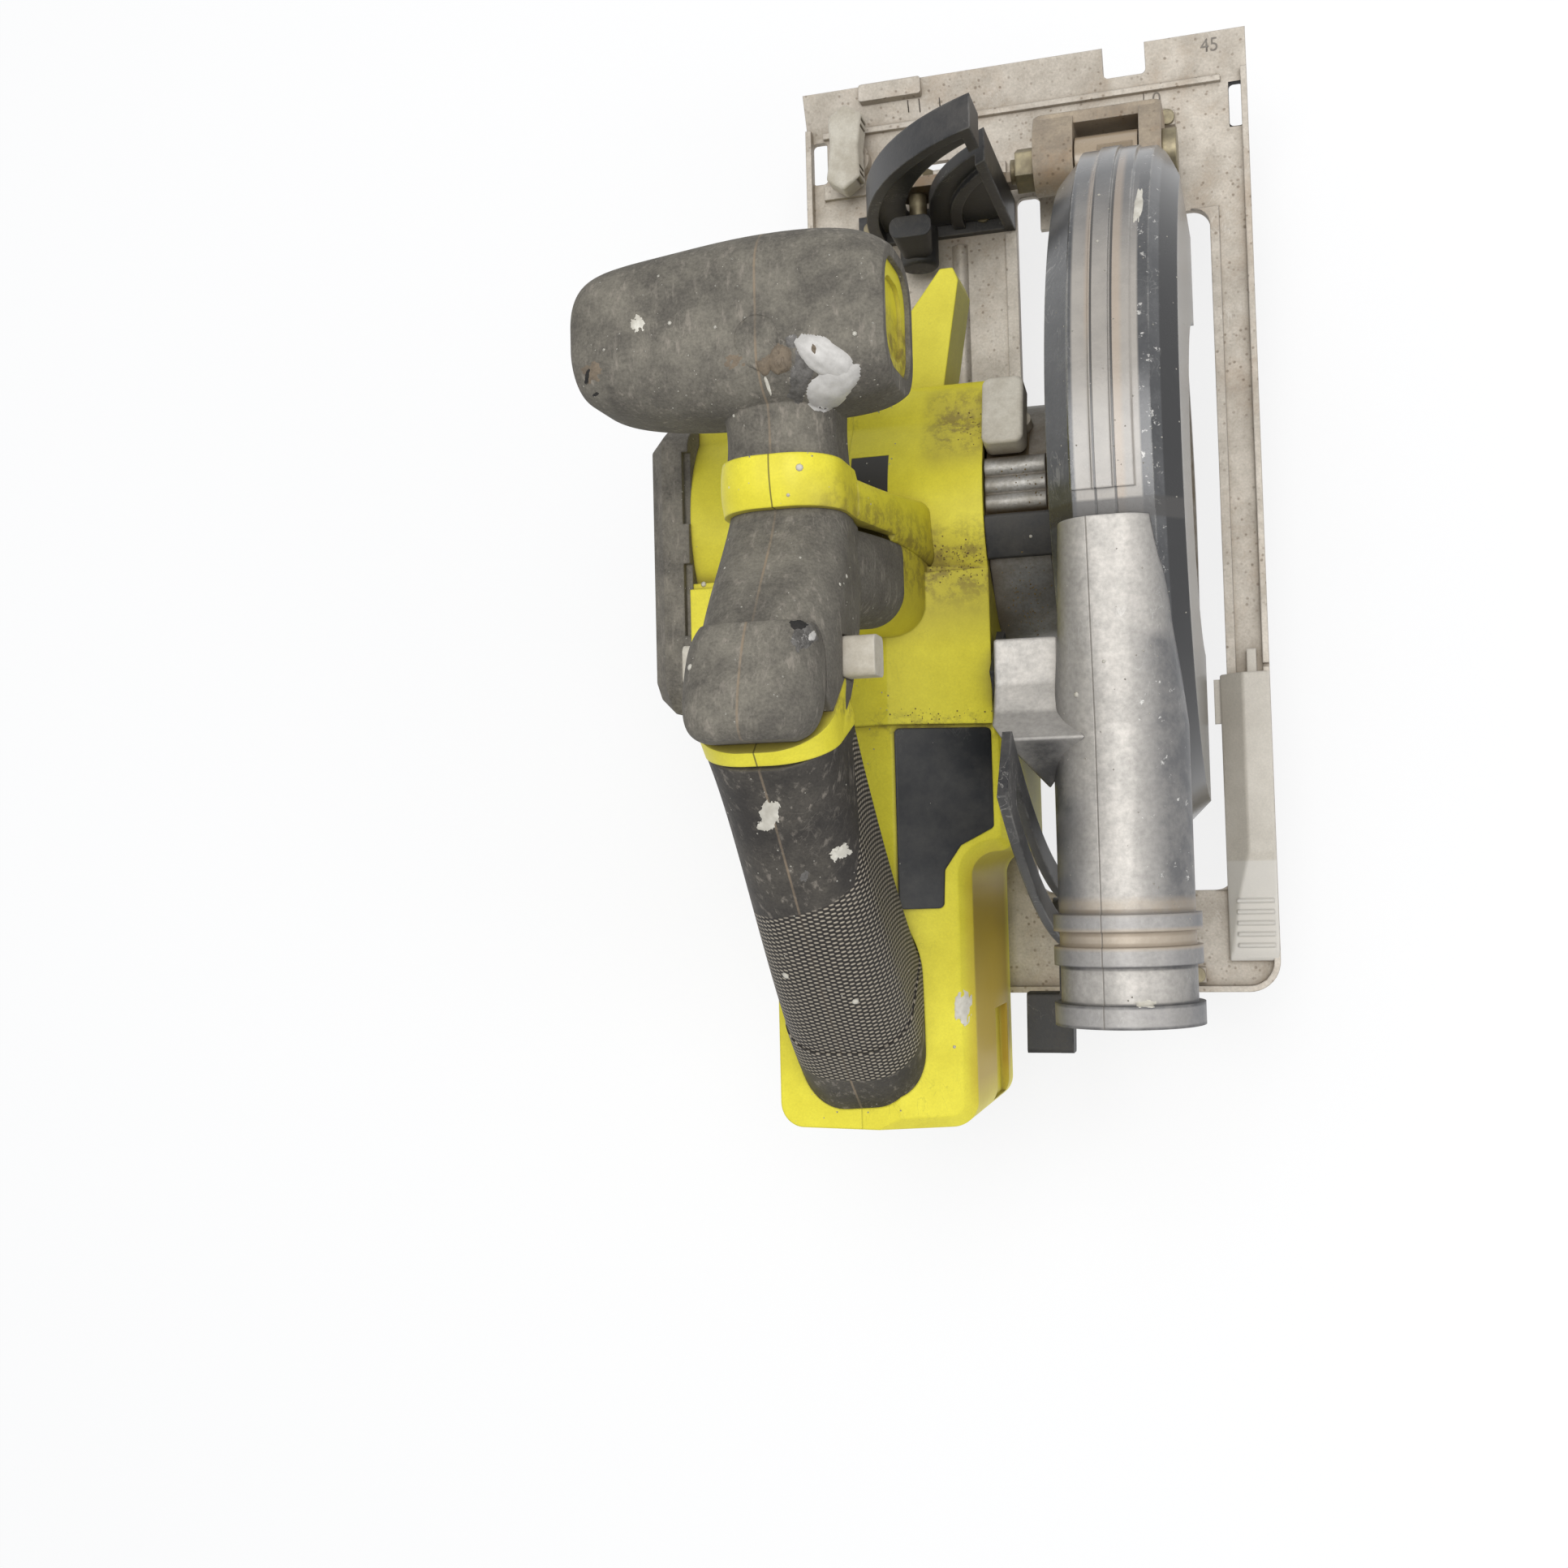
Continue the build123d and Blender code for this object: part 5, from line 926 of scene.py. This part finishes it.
# %% Smears in their places
# Name, carriers, place and half size in pixels, tilt, height in millimetres, raggedness and material.
SMEARS = (
    ("filler_upper", "pommel_grip", (1017, 441), (42, 20), 33, 1.7, 0.14, filler),
    ("filler_lower", "pommel_grip", (1026, 476), (38, 23), -44, 1.5, 0.16, filler),
    ("filler_hair", "pommel_grip", (985, 463), (15, 32), 12, 0.25, 0.5, putty),
    ("filler_hollow", "pommel_grip", (1004, 431), (4.5, 9), -10, 1.9, 0.1, plug_filler),
    ("plug_left", "pommel_grip pommel_plug", (939, 442), (11, 20), -12, 1.5, 0.15, plug_filler),
    ("plug_right", "pommel_grip pommel_plug", (961, 443), (15, 19), 8, 1.6, 0.15, plug_filler),
    ("plug_crease", "pommel_grip pommel_plug", (905, 444), (22, 11), -32, 0.12, 0.7, plug_filler),
    ("plug_smear", "pommel_grip", (976, 421), (11, 8), -20, 0.25, 0.5, putty),
    ("pommel_streak", "pommel_grip", (946, 475), (2.2, 13), -20, 0.3, 0.2, paint),
    ("pommel_splash", "pommel_grip", (785, 399), (9, 10), 30, 0.25, 0.6, paint),
    ("pommel_tear", "pommel_grip", (729, 459), (12, 12), 0, 0.3, 0.5, plug_filler),
    ("pommel_tear_dark", "pommel_grip", (724, 463), (3.5, 12), 10, 0.4, 0.4, grime),
    ("pommel_tear_small", "pommel_grip", (734, 486), (5, 2.5), -30, 0.2, 0.3, grime),
    ("hump_tear", "hump_cover", (992, 783), (14, 20), 35, 0.6, 0.4, putty),
    ("hump_tear_dark", "hump_cover", (985, 771), (13, 6), 15, 0.8, 0.3, grime),
    ("hump_tear_pale", "hump_cover", (999, 784), (5, 8), 20, 0.9, 0.3, filler),
    ("grip_daub_upper", "main_grip", (948, 1005), (12, 19), 10, 0.45, 0.55, paint),
    ("grip_daub_right", "main_grip", (1036, 1050), (13, 9), -20, 0.4, 0.6, paint),
    ("grip_daub_low", "main_grip", (991, 1081), (6, 9), 25, 0.15, 0.6, putty),
    ("box_flake", "housing_right", (1187, 1242), (10, 24), 8, 0.5, 0.6, paint),
    ("guard_streak", "upper_guard", (1402, 254), (6, 27), 8, 0.2, 0.5, paint),
    ("port_flake", "dust_chute", (1412, 1237), (14, 5), 0, 0.3, 0.4, paint),
)
SEED_STEP = 11.0
for number, row in enumerate(SMEARS):
    smear(*row, seed=SEED_STEP * number)

# %% [markdown]
# ## Drops of paint
# A drop is a flattened ball that stands on the surface. The large ones have their own places. The small
# ones are scattered over the handle, the guard and the chute with a fixed seed, so they fall in the same
# places each time. All of them join in one mesh.

# %% Drops
BODY_SKINS = ("pommel_grip front_grip hump_cover main_grip grip_pad grip_end_cap motor_end_cap "
              "pommel_collar housing_right housing_left upper_guard dust_chute blank_plate gear_shroud "
              "gear_case")


def ball(bm, spot, across, high, segments):
    """Add a flattened ball that stands on a met point."""
    stand = Matrix.Translation(spot[0]) @ spot[1].to_track_quat("Z", "Y").to_matrix().to_4x4()
    shape = Matrix.Diagonal((across, across, high, 1))
    bmesh.ops.create_uvsphere(bm, u_segments=segments, v_segments=segments // 2, radius=1.0,
                              matrix=stand @ shape)


def drop_on(bm, names, px, py, radius_mm, flat, segments=6):
    """Add a ball where the camera meets some nodes, if it does; flat is its height over its radius."""
    spot = met(names, px, py)
    if spot:
        ball(bm, spot, radius_mm / 1000, flat * radius_mm / 1000, segments)


# Place in pixels and radius in millimetres.
LARGE_DROPS = (
    (825, 398, 0.55), (881, 403, 0.45), (1053, 411, 0.6), (744, 431, 0.4), (904, 512, 0.5),
    (811, 340, 0.4), (985, 576, 1.0), (971, 610, 0.5), (1043, 710, 0.6), (986, 687, 0.4),
    (867, 720, 0.9), (968, 1202, 1.1), (1054, 1234, 1.0), (1031, 1047, 0.9), (1270, 661, 0.5),
    (1326, 856, 0.8), (1360, 815, 0.5), (1176, 1290, 0.5), (1354, 240, 0.5), (1352, 297, 0.5),
    (1227, 1360, 0.7), (850, 822, 0.9), (1035, 720, 0.5), (893, 700, 0.4),
)
# Left, top, right and bottom of a field in pixels, and how many drops fall on it.
DROP_FIELDS = ((715, 300, 1110, 510, 90), (890, 500, 1110, 900, 70), (890, 910, 1150, 1390, 70),
               (815, 540, 860, 880, 20), (1300, 230, 1470, 620, 60), (1310, 640, 1480, 1240, 50))
SMALL_DROP_MM = (0.1, 0.32)
LARGE_FLAT, SMALL_FLAT = 0.4, 0.35
chance = random.Random(4)
bm = bmesh.new()
for px, py, radius in LARGE_DROPS:
    drop_on(bm, BODY_SKINS, px, py, radius, LARGE_FLAT, segments=8)
for left, top, right, bottom, count in DROP_FIELDS:
    for i in range(count):
        px, py = chance.uniform(left, right), chance.uniform(top, bottom)
        drop_on(bm, BODY_SKINS, px, py, chance.uniform(*SMALL_DROP_MM), SMALL_FLAT)
settle(bm, "paint_drops", paint, "saw_head")

# %% [markdown]
# ## Lid over the screw hole
# A screw hole in the front handle is closed with a pat of rubber: a flattened ball whose skin a coarse and
# a fine noise push in and out, as a thumb did.

# %% Lid over the screw hole
PLUG_TOP = Vector((-0.082, -0.097, 0.1816))
LID_RADIUS, LID_HEIGHT = 0.0078, 0.0019
bm = bmesh.new()
ball(bm, (PLUG_TOP, Vector((0, 0, 1))), LID_RADIUS, LID_HEIGHT, 40)
for v in bm.verts:
    out = v.co - PLUG_TOP
    v.co = PLUG_TOP + out * (1 + 0.12 * noise.noise(v.co * 300) + 0.05 * noise.noise(v.co * 900))
settle(bm, "plug_lid", dusty_rubber, "saw_head")

# %% [markdown]
# ## Sawdust
# Sawdust gathers in the valley behind the motor and round the gear case. Its stain is already in the
# materials, and these crumbs give it a rough outline and small shadows. A heap is thickest in its middle,
# so their places follow a bell curve.

# %% Sawdust crumbs
sawdust = worn_surface(
    "pine_and_board_sawdust", ("#96804F", "#75603A"), tone_mm=2, grain_mm=0.4, grain=0.4, rough=0.9,
    dust="#9A8557", corners=0.2, edge="#A89262", rubbed=0.2, scuff="#5C4A2C", scuffs=0.2)
# Fields as for the drops, with the nodes that carry the crumbs.
CRUMB_FIELDS = (
    (1125, 655, 1232, 730, 110, "housing_right"),
    (1180, 505, 1228, 555, 40, "housing_right"),
    (1232, 685, 1300, 795, 120, "gear_case gear_cover gear_shroud"),
    (1215, 545, 1298, 640, 30, "gear_case"),
    (1060, 868, 1245, 900, 40, "housing_right blank_plate"),
)
CRUMB_MM, CRUMB_FLAT = (0.1, 0.3), 0.6
bm = bmesh.new()
for left, top, right, bottom, count, names in CRUMB_FIELDS:
    for i in range(count):
        px = chance.gauss((left + right) / 2, (right - left) / 5)
        py = chance.gauss((top + bottom) / 2, (bottom - top) / 5)
        drop_on(bm, names, px, py, chance.uniform(*CRUMB_MM), CRUMB_FLAT)
settle(bm, "sawdust_crumbs", sawdust, "saw_head")

# %% [markdown]
# ## Marks on the shoe
# The front of the shoe carries a few stamped marks that help to follow a line: a zero at the notch for a
# straight cut, the tilt's forty five further out, and three ticks on the small tab. The figures are text
# turned into a mesh, a few hundredths of a millimetre thick.

# %% Laying marks on the sheet
INK = 0.00003
print_grey = worn_surface(
    "stamped_scale_ink", ("#8B857C", "#77716A"), tone_mm=4, grain_mm=0.4, grain=0.3, rough=0.6,
    dust="#9A8F80", corners=0.2, edge="#8A847B", rubbed=0.2, scuff="#A9A196", scuffs=0.5)


def lay_flat(px, py):
    """The matrix that lays a flat drawing on the shoe at a place in the picture, its top to the front."""
    place, normal = met("shoe_plate", px, py)
    ahead = (Vector((0, 1, 0)) - normal * normal.y).normalized()
    turn = Matrix((ahead.cross(normal), ahead, normal)).transposed().to_4x4()
    return Matrix.Translation(place + normal * INK) @ turn


def figure(name, words, px, py, high):
    """A stamped figure on the shoe, from a text turned into a mesh."""
    text = bpy.data.curves.new(name, "FONT")
    text.body = words
    text.size = high
    text.align_x = "CENTER"
    text.align_y = "CENTER"
    text.extrude = INK
    drawn = bpy.data.objects.new(name + "_drawn", text)
    bm = bmesh.new()
    bm.from_mesh(drawn.to_mesh())
    bmesh.ops.transform(bm, matrix=lay_flat(px, py), verts=bm.verts)
    bpy.data.objects.remove(drawn)
    settle(bm, name, print_grey, "shoe")


print("ink", INK * 1000, "mm proud")

# %% Scale marks
FIGURE_HIGH = 0.006
# Place in pixels, width and length.
TICKS = ((1119, 131, 0.0004, 0.004), (1133, 130, 0.0004, 0.0045), (1158, 128, 0.0004, 0.004),
         (1409, 118, 0.0003, 0.006))
figure("zero_mark", "0", 1425, 122, FIGURE_HIGH)
figure("tilt_mark", "45", 1490, 56, FIGURE_HIGH)
bm = bmesh.new()
for px, py, wide, high in TICKS:
    bmesh.ops.create_cube(bm, size=1.0, matrix=lay_flat(px, py) @ Matrix.Diagonal((wide, high, 2 * INK, 1)))
settle(bm, "scale_ticks", print_grey, "shoe")

# %% [markdown]
# ## The end of the dressing
# Nothing more is added to the saw. Nothing that was added may make the saw larger than its
# solids.


print("dressing done")
